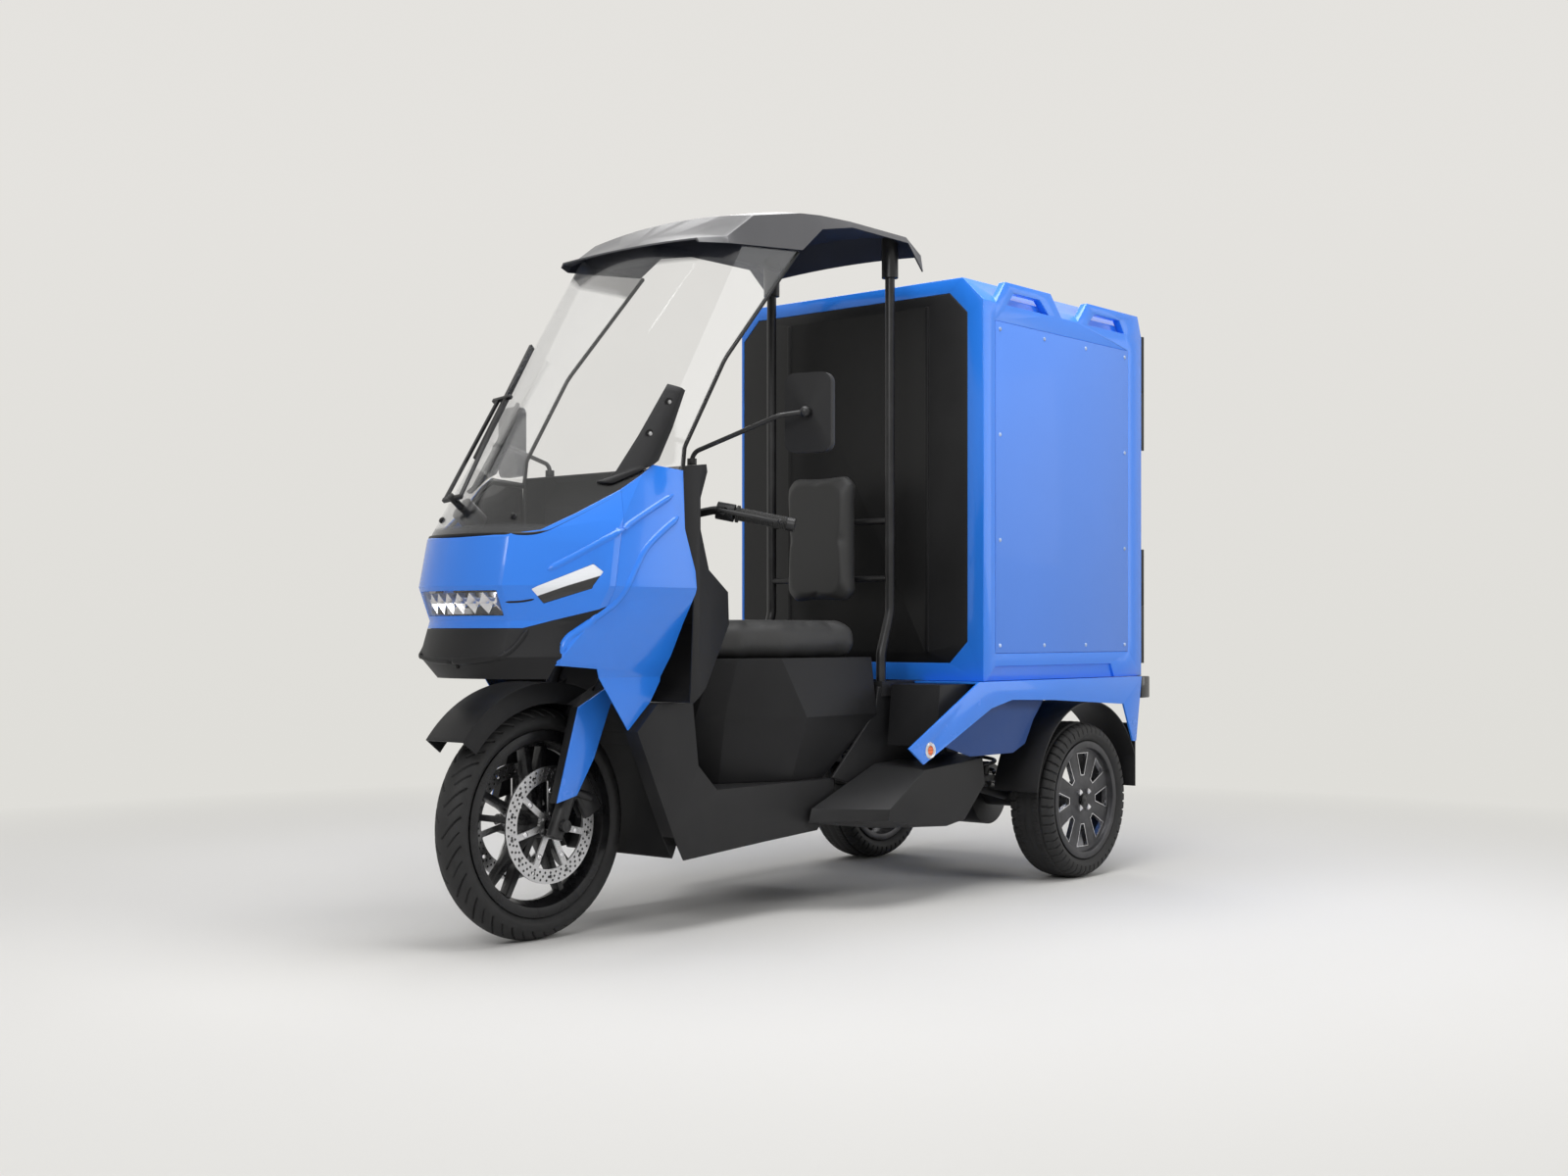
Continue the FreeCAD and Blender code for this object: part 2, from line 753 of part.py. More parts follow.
def front_fender():
    """The front mudguard over the tyre, with the dark shields that carry the fork panels."""
    half = X_AXIS * fender_half_width
    arch = pipe(front_axle - half, front_axle + half, fender_radius, fender_radius - fender_wall)
    cheek_span = fender_radius - fender_skirt
    cheek = pipe(front_axle + half, front_axle + half - X_AXIS * fender_wall, fender_radius, cheek_span)
    reach = fender_radius * 2
    sector = [(0, 0), (-reach * math.sin(fender_front_angle), reach * math.cos(fender_front_angle)),
              (0, reach), (reach * math.sin(fender_rear_angle), reach * math.cos(fender_rear_angle))]
    sector = [(y + front_axle.y, z + front_axle.z) for y, z in sector]
    guard = arch.fuse([cheek, mirrored(cheek)]).common(slab_x(sector, -reach, reach))
    shield_outer = fork_cover_outer - fork_panel_thickness - seat_gap / 2
    shield = slab_x(fork_cover_outline(), fork_cover_inner, shield_outer)
    hollow = rod(fork_point(-fork_lower_length, 0, fork_half_spread),
                 fork_point(crown_start, 0, fork_half_spread), fork_lower_radius + seat_gap)
    slim = block((fork_cover_inner - overrun, fork_half_spread),
                 (fork_cover_front - overrun, fork_cover_depth),
                 (fork_cover_bottom - overrun, fork_cover_bottom + fork_cover_height + overrun))
    wheel_room = rod(front_axle - X_AXIS * fender_radius, front_axle + X_AXIS * fender_radius, cheek_span)
    inner_cheek = slim.cut(wheel_room).common(block((fender_half_width - fender_wall, fork_half_spread),
                                                     (fork_cover_front, fork_cover_depth),
                                                     (fork_cover_bottom,
                                                      fork_cover_bottom + fork_cover_height)))
    shield = shield.cut(slim.cut(inner_cheek)).cut(hollow)
    brake_room = rod(front_axle, front_axle + X_AXIS * (disc_plane + caliper_width + seat_gap),
                     disc_radius + caliper_slot)
    shield = shield.cut(brake_room)
    return guard.fuse([shield, mirrored(shield)]).cut([hollow, mirrored(hollow)])


def fork_crown():
    """The lower fork clamp with its steering stem and the two fixed inner tubes."""
    reach = fork_half_spread + stanchion_radius * 2
    plate = block((-reach, reach), (-crown_half_depth, crown_half_depth + fork_offset), (0, crown_height))
    plate.rotate(ORIGIN, X_AXIS, -math.degrees(steering_rake))
    plate = plate.translated(fork_point(crown_start))
    stem = rod(fork_point(crown_start, fork_offset), fork_point(bar_along_stem, fork_offset), stem_radius)
    crown = plate.fuse(stem)
    tubes = []
    for side in (fork_half_spread, -fork_half_spread):
        inner = rod(fork_point(stanchion_start, 0, side), fork_point(crown_start + crown_height, 0, side),
                    stanchion_radius)
        crown = crown.cut(inner)
        tubes.append(inner)
    return Part.Compound([crown] + tubes)


bar_centre = fork_point(bar_along_stem, fork_offset)


def grip_point(x):
    """A point on the left grip's centre line at a distance from the middle."""
    out = x - grip_start_x
    start = bar_centre + vec(grip_start_x, bar_kick_back, bar_kick_rise)
    return start + vec(out, out * grip_sweep, -out * grip_drop)


def handlebar_path():
    """The bar's route from one end to the other."""
    knee = bar_centre + vec(bar_knee_x, 0, bar_knee_rise)
    left = [grip_point(grip_end_x + bar_weight_length), grip_point(grip_start_x - switch_length), knee]
    right = [vec(-point.x, point.y, point.z) for point in reversed(left)]
    return left + right


def handlebar():
    """The bent bar with its clamp on the stem and end weights."""
    bar = bent_bar(handlebar_path(), bar_radius, bar_bend)
    clamp = block((-bar_clamp_half, bar_clamp_half), (-bar_clamp_half, bar_clamp_half),
                  (-bar_clamp_half, bar_clamp_half))
    clamp.rotate(ORIGIN, X_AXIS, -math.degrees(steering_rake))
    clamp = clamp.translated(bar_centre)
    stem = rod(fork_point(crown_start, fork_offset), fork_point(bar_along_stem, fork_offset),
               stem_radius + seat_gap)
    weight = rod(grip_point(grip_end_x + seat_gap), grip_point(grip_end_x + bar_weight_length),
                 bar_weight_radius)
    return bar.fuse([clamp, weight, mirrored(weight)]).cut(stem)


def hand_grip():
    """The left rubber grip with a flange at its inner end."""
    start = grip_point(grip_start_x)
    end = grip_point(grip_end_x)
    sleeve = rod(start, end, grip_radius)
    flange = rod(start, grip_point(grip_start_x + bar_weight_length / 3),
                 grip_radius + bar_weight_length / 3)
    return sleeve.fuse(flange).cut(rod(start, end, bar_radius + grip_bore_gap))


def grip_left():
    """The fixed left grip."""
    return hand_grip()


def throttle_grip():
    """The turning right grip."""
    return mirrored(hand_grip())


def switch_middle():
    """The middle of the left switch housing."""
    return grip_point(grip_start_x - seat_gap - switch_length / 2)


def grip_direction():
    """The way that the left grip points."""
    return (grip_point(grip_end_x) - grip_point(grip_start_x)).normalize()


def lever_pivot():
    """The left brake lever's pivot, in front of the bar beside the switches."""
    forward = grip_direction().cross(Z_AXIS).normalize() * -1
    if forward.y > 0:
        forward = forward * -1
    return switch_middle() + forward * lever_reach, forward


def switch_housing():
    """The left switch cluster with the lever's forked bracket and pin."""
    along = grip_direction()
    middle = switch_middle()
    half = along * (switch_length / 2)
    body = rod(middle - half, middle + half, switch_radius)
    pivot, forward = lever_pivot()
    arm = rod(middle + forward * bar_radius, pivot + forward * (lever_width / 2), lever_bracket_radius)
    gap_half = Z_AXIS * (lever_thickness * 0.75)
    fork_gap = rod(pivot - gap_half, pivot + gap_half, lever_width * 1.4)
    pin = rod(pivot - Z_AXIS * lever_thickness, pivot + Z_AXIS * lever_thickness, lever_width / 4)
    bar = bent_bar(handlebar_path(), bar_radius, bar_bend)
    well = rod(button_seat(), button_seat() + button_way() * button_height, button_radius + running_gap)
    return body.fuse(arm).cut(fork_gap).fuse(pin).cut([bar, well])


def switch_housings():
    """Both switch clusters."""
    return pair(switch_housing())


def button_way():
    """The way that the left thumb button stands out."""
    return (vec(0, 1, 1) - grip_direction() * vec(0, 1, 1).dot(grip_direction())).normalize()


def button_seat():
    """The bottom of the left thumb button."""
    return switch_middle() + button_way() * (switch_radius - button_height)


def thumb_button():
    """The left thumb button in its well."""
    return rod(button_seat() + button_way() * button_stand, button_seat()
               + button_way() * (button_height + button_stand / 2),
               button_radius)


def horn_button():
    """The horn button on the left."""
    return thumb_button()


def ready_button():
    """The drive-ready button on the right."""
    return mirrored(thumb_button())


def brake_lever():
    """The left brake lever: a flat blade with a ball end, bored for its pin."""
    pivot, forward = lever_pivot()
    along = grip_direction()
    half = Z_AXIS * (lever_thickness / 2)
    tip = pivot + along * lever_length
    across = forward * (lever_width / 2)
    outline = [pivot - across - along * lever_width, pivot + across - along * lever_width,
               pivot + across + along * (lever_length / 3), tip + across / 2, tip - across / 2,
               pivot - across + along * (lever_length / 3)]
    blade = polygon_face([point - half for point in outline]).extrude(half * 2)
    ball = Part.makeSphere(lever_tip_radius, tip)
    bore = rod(pivot - half * 2, pivot + half * 2, lever_width / 4 + running_gap)
    return blade.fuse(ball).cut(bore)


def brake_lever_left():
    """The left brake lever."""
    return brake_lever()


def brake_lever_right():
    """The right brake lever."""
    return mirrored(brake_lever())


def dash_display():
    """The tilted display pod that sits on the bar clamp."""
    pod = block((-display_width / 2, display_width / 2), (-display_depth / 2, display_depth / 2),
                (0, display_thickness))
    pod = pod.makeFillet(display_hood,
                         [edge for edge in pod.Edges if abs(edge.tangentAt(edge.FirstParameter).z) > 0.9])
    screen = block((-display_width / 2 + display_hood, display_width / 2 - display_hood),
                   (-display_depth / 2 + display_hood, display_depth / 2 - display_hood),
                   (display_thickness - display_hood / 2, display_thickness + overrun))
    pod = pod.cut(screen)
    foot = block((-bar_clamp_half, bar_clamp_half), (-bar_clamp_half / 2, bar_clamp_half / 2),
                 (-bar_clamp_half * 2, 0))
    pod = pod.fuse(foot)
    pod.rotate(ORIGIN, X_AXIS, math.degrees(display_tilt))
    pod = pod.translated(bar_centre + vec(0, bar_clamp_half / 2, bar_clamp_half * 2))
    return pod.cut(handlebar()).cut(fork_crown())


def bow(level, front, corner_x, corner_y, half, side_y, inset, back):
    """A plan outline at one height: a curved front, corner facets, straight sides and a flat back."""
    nose = vec(0, front + inset, level)
    corner = vec(corner_x - inset / 2, corner_y + inset, level)
    side = vec(half - inset, side_y + inset / 2, level)
    heel = vec(half - inset, back, level)
    other = [vec(-point.x, point.y, point.z) for point in (corner, side, heel)]
    chain = [corner, side, heel, other[2], other[1], other[0]]
    edges = [Part.Arc(other[0], nose, corner).toShape()]
    edges += [Part.makeLine(a, b) for a, b in zip(chain, chain[1:])]
    return Part.Wire(edges)


def screen_row(level):
    """The bow's values on the windscreen's straight slope from the sill to the brow."""
    share = (level - sill_level) / (brow_level - sill_level)
    low = (sill_front, sill_corner_x, sill_corner_y, sill_half, sill_side_y)
    high = (brow_front, brow_corner_x, brow_corner_y, brow_half, brow_side_y)
    return (level,) + tuple(a + (b - a) * share for a, b in zip(low, high))


def fairing_form(inset):
    """The fairing's outer form, or the same form drawn in by a wall."""
    rows = [(fairing_foot, chin_front, chin_corner_x, chin_corner_y, chin_half, chin_side_y),
            (chin_level, chin_front, chin_corner_x, chin_corner_y, chin_half, chin_side_y),
            (bumper_level, bumper_front, bumper_corner_x, bumper_corner_y, bumper_half, bumper_side_y),
            (lamp_level, lamp_front, lamp_corner_x, lamp_corner_y, lamp_half, lamp_side_y),
            (crease_level, crease_front, crease_corner_x, crease_corner_y, crease_half, crease_side_y),
            screen_row(sill_level), screen_row(shoulder_level)]
    return Part.makeLoft([bow(*row, inset, fairing_back + inset) for row in rows], True, True)


def fairing_skin():
    """The hollow fairing, open at the back, before it is split into panels."""
    return fairing_form(0).cut(fairing_form(fairing_wall))


def fairing_piece(shares):
    """One panel of the fairing, cut out of the skin by its side view."""
    outline = spread(shares, fairing_start, fairing_reach, fairing_foot, fairing_rise)
    return fairing_skin().common(slab_x(outline, -box_width, box_width))


def headlamp_window(grow):
    """The headlamp's opening through the nose."""
    return block((-headlamp_half - grow, headlamp_half + grow),
                 (fairing_start, lamp_corner_y + fairing_wall * 2),
                 (headlamp_bottom - grow, headlamp_bottom + headlamp_height + grow))


def side_lamp_window(grow):
    """The left corner lamp's opening through the nose."""
    outline = spread(side_lamp_shares, side_lamp_inner - grow, side_lamp_width + grow * 2,
                     side_lamp_bottom - grow, side_lamp_height + grow * 2)
    return slab_y(outline, fairing_start, fairing_back / 2)


def nose_cowl():
    """The coloured nose between the bumper and the windscreen."""
    window = side_lamp_window(panel_gap)
    return fairing_piece(nose_split_shares).cut([headlamp_window(panel_gap), window, mirrored(window)])


def side_cowls():
    """The coloured wings on both sides of the nose."""
    window = side_lamp_window(panel_gap)
    return fairing_piece(side_split_shares).cut([window, mirrored(window)])


def front_bumper():
    """The dark chin under the nose."""
    return fairing_piece(bumper_split_shares)


def headlamp_lens():
    """The clear lens that fills the headlamp opening."""
    return fairing_skin().common(headlamp_window(0))


def side_lamps():
    """The clear corner lamps."""
    window = side_lamp_window(0)
    skin = fairing_skin()
    return Part.Compound([skin.common(window), skin.common(mirrored(window))])


def headlamp_reflector():
    """The reflector housing behind the lens, with a row of cups."""
    case = block((-headlamp_half, headlamp_half), (fairing_start, lamp_corner_y + headlamp_depth),
                 (headlamp_bottom, headlamp_bottom + headlamp_height))
    case = case.common(fairing_form(fairing_wall + seat_gap))
    pitch = headlamp_half * 2 / headlamp_cup_count
    depth = lamp_corner_y + headlamp_depth * headlamp_cup_share - fairing_start
    cups = []
    for index in range(headlamp_cup_count):
        middle = vec(-headlamp_half + pitch * (index + 0.5), fairing_start,
                     headlamp_bottom + headlamp_height / 2)
        cups.append(Part.makeCone(pitch * headlamp_cup_share * 2, pitch * headlamp_cup_share / 2, depth,
                                  middle, Y_AXIS))
    return case.cut(cups)


def screen_sheet(depth, thickness):
    """A sheet that follows the windscreen's slope at a depth behind the fairing's outer face."""
    forms = []
    for inset in (depth, depth + thickness):
        bows = [bow(*screen_row(level), inset, screen_back + inset) for level in (sill_level, brow_level)]
        forms.append(Part.makeLoft(bows, True, True))
    return forms[0].cut(forms[1])


def windscreen():
    """The wrapped windscreen, tucked behind the fairing and under the roof, with the wiper's hole."""
    outline = spread(screen_split_shares, screen_start, screen_reach, screen_foot, screen_rise)
    sheet = screen_sheet(fairing_wall + seat_gap, screen_thickness).common(slab_x(outline, -box_width,
                                                                                  box_width))
    return biggest(sheet.cut([roof_form(seat_gap), wiper_spindle(seat_gap)]))


def screen_brackets():
    """The dark braces that clamp the windscreen to the wings."""
    outline = spread(bracket_shares, bracket_start, bracket_length, bracket_bottom, bracket_height)
    raised = screen_sheet(fairing_wall + seat_gap - panel_gap - bracket_thickness, bracket_thickness)
    braces = raised.common(slab_x(outline, -box_width, box_width))
    return braces.cut(fairing_form(-seat_gap).common(fairing_block()))


def fairing_block():
    """The space that the wings and the nose take up."""
    outlines = [spread(shares, fairing_start, fairing_reach, fairing_foot, fairing_rise)
                for shares in (nose_split_shares, side_split_shares)]
    slabs = [slab_x(outline, -box_width, box_width) for outline in outlines]
    return slabs[0].fuse(slabs[1])


def screen_slope():
    """The way up the windscreen's middle, and the way out of it."""
    up = vec(0, brow_front - sill_front, brow_level - sill_level).normalize()
    return up, X_AXIS.cross(up)


def wiper_foot():
    """The wiper spindle's place on the glass."""
    return vec(wiper_pivot_x, screen_row(wiper_pivot_level)[1] + fairing_wall, wiper_pivot_level)


def wiper_spindle(grow):
    """The wiper's spindle through the glass, or its hole."""
    out = screen_slope()[1]
    start = wiper_foot() - out * (wiper_spindle_depth + grow)
    return rod(start, wiper_foot() + out * (wiper_stand + wiper_arm_radius * 2),
               wiper_spindle_radius + grow)


def strap(start, end, wide, normal, thick):
    """A flat bar from one point to another, with a given width and a thickness along a normal."""
    across = normal.cross(end - start).normalize() * (wide / 2)
    lift = normal * (thick / 2)
    corners = [start + across + lift, start - across + lift, start - across - lift, start + across - lift]
    return polygon_face(corners).extrude(end - start)


def wiper_arm():
    """The paired wiper arms on their spindle, with the blade across their end."""
    up, out = screen_slope()
    foot = wiper_foot() + out * wiper_stand
    lean = up * math.cos(wiper_lean) - X_AXIS * math.sin(wiper_lean)
    side = out.cross(lean).normalize()
    wide = wiper_arm_radius * 2
    top = foot + lean * wiper_arm_length
    end = side * (wiper_arm_gap + wiper_arm_radius)
    head = strap(foot - end, foot + end, wide, out, wide)
    cross = strap(top - end, top + end, wide, out, wide)
    arms = []
    for reach in (-wiper_arm_gap, wiper_arm_gap):
        arms.append(strap(foot + side * reach, top + side * (reach / 2), wiper_rod_width, out,
                          wiper_rod_width))
    half = lean * (wiper_blade_length / 2)
    blade_top = top - out * (wiper_arm_radius / 2)
    corners = [side * (wiper_blade_width / 2), side * (-wiper_blade_width / 2),
               side * (-wiper_blade_width / 4) - out * wiper_blade_depth,
               side * (wiper_blade_width / 4) - out * wiper_blade_depth]
    blade = polygon_face([blade_top - half + corner for corner in corners]).extrude(half * 2)
    return wiper_spindle(0).fuse([head, cross, blade] + arms)


def wiper_motor():
    """The wiper's motor on the inside of the glass, bored for the spindle."""
    out = screen_slope()[1]
    can = rod(wiper_foot(), wiper_foot() - out * wiper_motor_length, wiper_motor_radius)
    glass = screen_sheet(fairing_wall, screen_thickness + seat_gap * 2)
    return biggest(can.cut([glass, wiper_spindle(running_gap)]))


def legshield_outline():
    """The side view of the legshield."""
    return spread(legshield_shares, legshield_start, legshield_length, legshield_bottom, legshield_height)


def legshield_plan(inset):
    """The legshield's tapering plan."""
    end = legshield_start + legshield_length
    return slab_z([(legshield_half - inset, legshield_start - overrun),
                   (legshield_half - inset, mirror_foot_y),
                   (legshield_rear_half - inset, end + overrun),
                   (inset - legshield_rear_half, end + overrun),
                   (inset - legshield_half, mirror_foot_y), (inset - legshield_half,
                                                             legshield_start - overrun)],
                  legshield_bottom - overrun, legshield_bottom + legshield_height + overrun)


def legshield():
    """The hollow inner panel that faces the rider, with the steering stem's hole."""
    outer = slab_x(legshield_outline(), -legshield_half, legshield_half).common(legshield_plan(0))
    face = polygon_face([vec(-legshield_half, y, z) for y, z in legshield_outline()])
    hollow = face.makeOffset2D(-legshield_wall).extrude(X_AXIS * (legshield_half * 2))
    cavity = hollow.common(legshield_plan(legshield_wall))
    mouth = cavity.translated(Y_AXIS * (-legshield_wall * 2))
    stem_hole = rod(fork_point(head_tube_start, fork_offset), fork_point(bar_along_stem, fork_offset),
                    stem_hole_radius)
    return outer.cut([cavity, mouth, stem_hole]).cut(main_frame(seat_gap))


def mirror_foot():
    """The left mirror stalk's seat on the legshield's shoulder."""
    return vec(mirror_foot_x, mirror_foot_y, legshield_bottom + legshield_height)


def mirror_middle():
    """The middle of the left mirror's housing."""
    return vec(mirror_x, mirror_y, mirror_level)


def mirror_ball():
    """The left mirror's ball joint, behind the housing."""
    return mirror_middle() - mirror_way() * (mirror_depth / 2 + mirror_ball_radius + seat_gap)


def mirror_arm():
    """The left mirror stalk: a bent rod with a boss at its foot and a ball at its end."""
    foot = mirror_foot() - Z_AXIS * (legshield_wall * 2)
    route = [foot, mirror_foot() + Z_AXIS * mirror_foot_rise, vec(mirror_elbow_x, mirror_elbow_y,
                                                                  mirror_elbow_level),
             mirror_ball()]
    stalk = bent_bar(route, mirror_arm_radius, mirror_arm_bend)
    boss = rod(foot, mirror_foot() + Z_AXIS * mirror_arm_radius * 2, mirror_arm_radius * 2)
    ball = Part.makeSphere(mirror_ball_radius, mirror_ball())
    return biggest(stalk.fuse([boss, ball]).cut(legshield())).translated(Z_AXIS * seat_gap)


def mirror_arms():
    """Both mirror stalks."""
    return pair(mirror_arm())


def mirror_way():
    """The way that the left mirror's glass faces: backwards and a little inwards."""
    return vec(-math.sin(mirror_turn), math.cos(mirror_turn), 0)


def mirror_slab(width, height, corner, front, back):
    """A rounded rectangle across the left mirror, between two depths along its facing."""
    slab = block((-width / 2, width / 2), (front, back), (-height / 2, height / 2))
    slab = slab.makeFillet(corner,
                           [edge
                            for edge in slab.Edges if abs(edge.tangentAt(edge.FirstParameter).y) > 0.9])
    slab.rotate(ORIGIN, Z_AXIS, math.degrees(mirror_turn))
    return slab.translated(mirror_middle())


def mirror_head():
    """The left mirror's housing with its socket and glass recess."""
    half = mirror_depth / 2
    shell = mirror_slab(mirror_width, mirror_height, mirror_corner, -half, half)
    inner_width = mirror_width - mirror_rim * 2
    recess = mirror_slab(inner_width, mirror_height - mirror_rim * 2, mirror_corner - mirror_rim,
                         half - mirror_glass_thickness - seat_gap, half + overrun)
    ball = mirror_ball() + Z_AXIS * seat_gap
    socket = rod(ball + mirror_way() * mirror_socket_set, mirror_middle() + Z_AXIS * seat_gap,
                 mirror_socket_radius)
    cup = Part.makeSphere(mirror_ball_radius + running_gap, ball)
    return shell.fuse(socket).cut([recess, cup])


def mirror_glass():
    """The left mirror's glass."""
    half = mirror_depth / 2
    inset = mirror_rim + seat_gap
    return mirror_slab(mirror_width - inset * 2, mirror_height - inset * 2, mirror_corner - inset,
                       half - mirror_glass_thickness - seat_gap / 2, half - seat_gap / 2)


def mirror_head_left():
    """The left mirror housing."""
    return mirror_head()


def mirror_head_right():
    """The right mirror housing."""
    return mirrored(mirror_head())


def mirror_glass_left():
    """The left mirror glass."""
    return mirror_glass()


def mirror_glass_right():
    """The right mirror glass."""
    return mirrored(mirror_glass())


def main_frame(grow):
    """The welded frame of tubes, rails, crossbars and brackets, or the same grown by a clearance."""
    head_low = fork_point(head_tube_start - grow, fork_offset)
    head_high = fork_point(head_tube_start + head_tube_length + grow, fork_offset)
    spine_top = fork_point(head_tube_start + head_tube_length / 2, fork_offset)
    route = [spine_top, vec(0, spine_knee_y, spine_knee_level), vec(0, spine_foot_y, spine_level),
             vec(0, spine_rear_y, spine_level), vec(0, rail_start + crossbar_depth / 2,
                                                    box_bottom - rail_height / 2)]
    members = [rod(head_low, head_high, head_tube_radius + grow),
               bent_bar(route, spine_radius + grow, spine_bend)]
    half = rail_width / 2 + grow
    level = (box_bottom - rail_height - grow, box_bottom + min(grow, 0))
    for side in (rail_half_spread, -rail_half_spread):
        members.append(block((side - half, side + half), (rail_start - grow, rail_end + grow), level))
    reach = rail_half_spread + rail_width / 2 + grow
    for start in (rail_start, pivot_y - crossbar_depth / 2, rail_end - crossbar_depth):
        members.append(block((-reach, reach), (start - grow, start + crossbar_depth + grow), level))
    outer = outrigger_reach + grow
    members.append(block((-outer, outer), (outrigger_y - outrigger_depth / 2 - grow,
                                           outrigger_y + outrigger_depth / 2 + grow), level))
    for side in (1, -1):
        inner = side * (rail_half_spread - pivot_plate_thickness / 2)
        span = sorted((inner - side * grow, inner + side * (pivot_plate_thickness + grow)))
        members.append(block(span, (pivot_y - pivot_plate_half - grow, pivot_y + pivot_plate_half + grow),
                             (pivot_level - pivot_plate_half - grow, box_bottom - rail_height / 2)))
    pin = vec(reach, pivot_y, pivot_level)
    members.append(rod(vec(-pin.x, pin.y, pin.z), pin, pivot_pin_radius + grow))
    stem_bore = rod(head_low - fork_up * overrun, head_high + fork_up * overrun, stem_radius + running_gap)
    frame = members[0].fuse(members[1:])
    return frame.cut(stem_bore) if grow == 0 else frame


def frame_node():
    """The frame itself."""
    return main_frame(0)


def floor_pan():
    """The step-through floor with its side skirts and wheel well, open underneath."""
    outline = spread(floor_shares, floor_start, floor_length, floor_bottom, floor_height)
    outer = slab_x(outline, -floor_half, floor_half)
    inner_half = floor_half - floor_wall
    face = polygon_face([vec(-inner_half, y, z) for y, z in outline])
    cavity = face.makeOffset2D(-floor_wall).extrude(X_AXIS * (inner_half * 2))
    drop = cavity.translated(Z_AXIS * (-floor_wall * 2))
    bump = fork_up * suspension_travel
    well = []
    shell = []
    for middle in (front_axle, front_axle + bump):
        for room, half, radius in ((well, well_half, well_radius),
                                   (shell, well_half + floor_wall, well_radius + floor_wall)):
            room.append(rod(middle - X_AXIS * half, middle + X_AXIS * half, radius))
    well_room = well[0].fuse(well[1])
    well_shell = shell[0].fuse(shell[1])
    return outer.cut(well_room).cut(cavity.fuse(drop).cut(well_shell)).cut(main_frame(seat_gap))


def plan_ring(shares, half, start, length, level, inset):
    """A plan outline with mirrored halves, given as shares of a half width and a length."""
    right = [vec(across * half - inset, start + along * length, level) for across, along in shares]
    left = [vec(-point.x, point.y, point.z) for point in reversed(right)]
    points = right + left
    return Part.makePolygon(points + points[:1])


def base_form(inset):
    """The faceted seat base, or the same form drawn in by a wall."""
    rows = ((base_foot_shares, base_foot), (base_waist_shares, base_waist), (base_top_shares, base_top))
    rings = [plan_ring(shares, base_half, base_front + inset, base_length - inset * 2, level,
                       inset) for shares, level in rows]
    return Part.makeLoft(rings, True, True)


def seat_base():
    """The hollow seat base, open underneath, cut round the frame and the canopy posts."""
    hollow = base_form(base_wall).translated(Z_AXIS * -base_wall)
    return base_form(0).cut(hollow).cut(main_frame(seat_gap)).cut(post_frame(seat_gap))


def seat_cushion():
    """The crowned seat with drawn-in sides."""
    rings = []
    for rise, width in seat_level_shares:
        level = base_top + panel_gap + rise * seat_height
        draw_in = seat_half * (1 - width)
        rings.append(plan_ring(seat_plan_shares, seat_half, seat_front + draw_in, seat_length - draw_in * 2,
                               level, draw_in))
    return Part.makeLoft(rings, True, True).cut(post_frame(panel_gap))


def backrest_cushion():
    """The crowned back pad in front of the cross tubes."""
    middle = backrest_bottom + backrest_height / 2
    back = post_y - cross_tube_radius - panel_gap
    rings = []
    for depth, size in backrest_depth_shares:
        half = backrest_half * size
        rise = backrest_height / 2 - backrest_half * (1 - size)
        cut = backrest_half * backrest_corner_share
        corners = [(half, rise - cut), (half - cut, rise), (cut - half, rise), (-half, rise - cut),
                   (-half, cut - rise), (cut - half, -rise), (half - cut, -rise), (half, cut - rise)]
        points = [vec(x, back - depth * backrest_depth, middle + z) for x, z in corners]
        rings.append(Part.makePolygon(points + points[:1]))
    return Part.makeLoft(rings, True, True)


def post_frame(grow):
    """The bent canopy posts with the backrest's cross tubes, or the same grown by a clearance."""
    top = roof_height - post_drop + grow
    route = [vec(post_half_spread, post_y, top), vec(post_half_spread, post_y, post_knee_level),
             vec(post_half_spread, post_foot_y, post_foot_level),
             vec(post_half_spread, post_foot_y, box_bottom + seat_gap - grow)]
    post = bent_bar(route, post_radius + grow, post_bend)
    bars = []
    for level in (cross_tube_upper, cross_tube_lower):
        end = vec(post_half_spread, post_y, level)
        bars.append(rod(vec(-end.x, end.y, end.z), end, cross_tube_radius + grow))
    return post.fuse([mirrored(post)] + bars)


def canopy_posts():
    """The canopy posts and the roof sockets on them."""
    middle = vec(post_half_spread, post_y, 0)
    socket = rod(middle + Z_AXIS * (roof_height - socket_drop), middle + Z_AXIS * roof_height,
                 socket_radius)
    bore = rod(middle, middle + Z_AXIS * (roof_height - post_drop + seat_gap), post_radius + seat_gap)
    socket = socket.cut([bore, roof_form(seat_gap)])
    low = min(socket.Solids, key=lambda solid: solid.CenterOfMass.z)
    return Part.Compound([post_frame(0), low, mirrored(low)])


def roof_section(row, grow):
    """One closed section of the roof sheet across the vehicle."""
    along, width, edge, shoulder, crown = row
    y = roof_front + along * roof_length
    low = roof_height - roof_rise
    half = width * roof_half

    def at(x, share, drop):
        return vec(x, y, low + share * roof_rise - drop)

    points = []
    for draw in (-grow, roof_wall + grow):
        points.append((at(half - draw, edge, 0), at(half - draw - roof_lean, shoulder, draw),
                       at(0, crown, draw)))
    edges = []
    for foot, bend, top in points:
        left_foot = vec(-foot.x, foot.y, foot.z)
        left_bend = vec(-bend.x, bend.y, bend.z)
        edges.append([Part.makeLine(foot, bend), Part.Arc(bend, top, left_bend).toShape(),
                      Part.makeLine(left_bend, left_foot)])
    outer, inner = points
    right_foot = Part.makeLine(inner[0], outer[0])
    left_foot = Part.makeLine(vec(-outer[0].x, outer[0].y, outer[0].z),
                              vec(-inner[0].x, inner[0].y, inner[0].z))
    return Part.Wire(edges[0] + [left_foot] + list(reversed(edges[1])) + [right_foot])


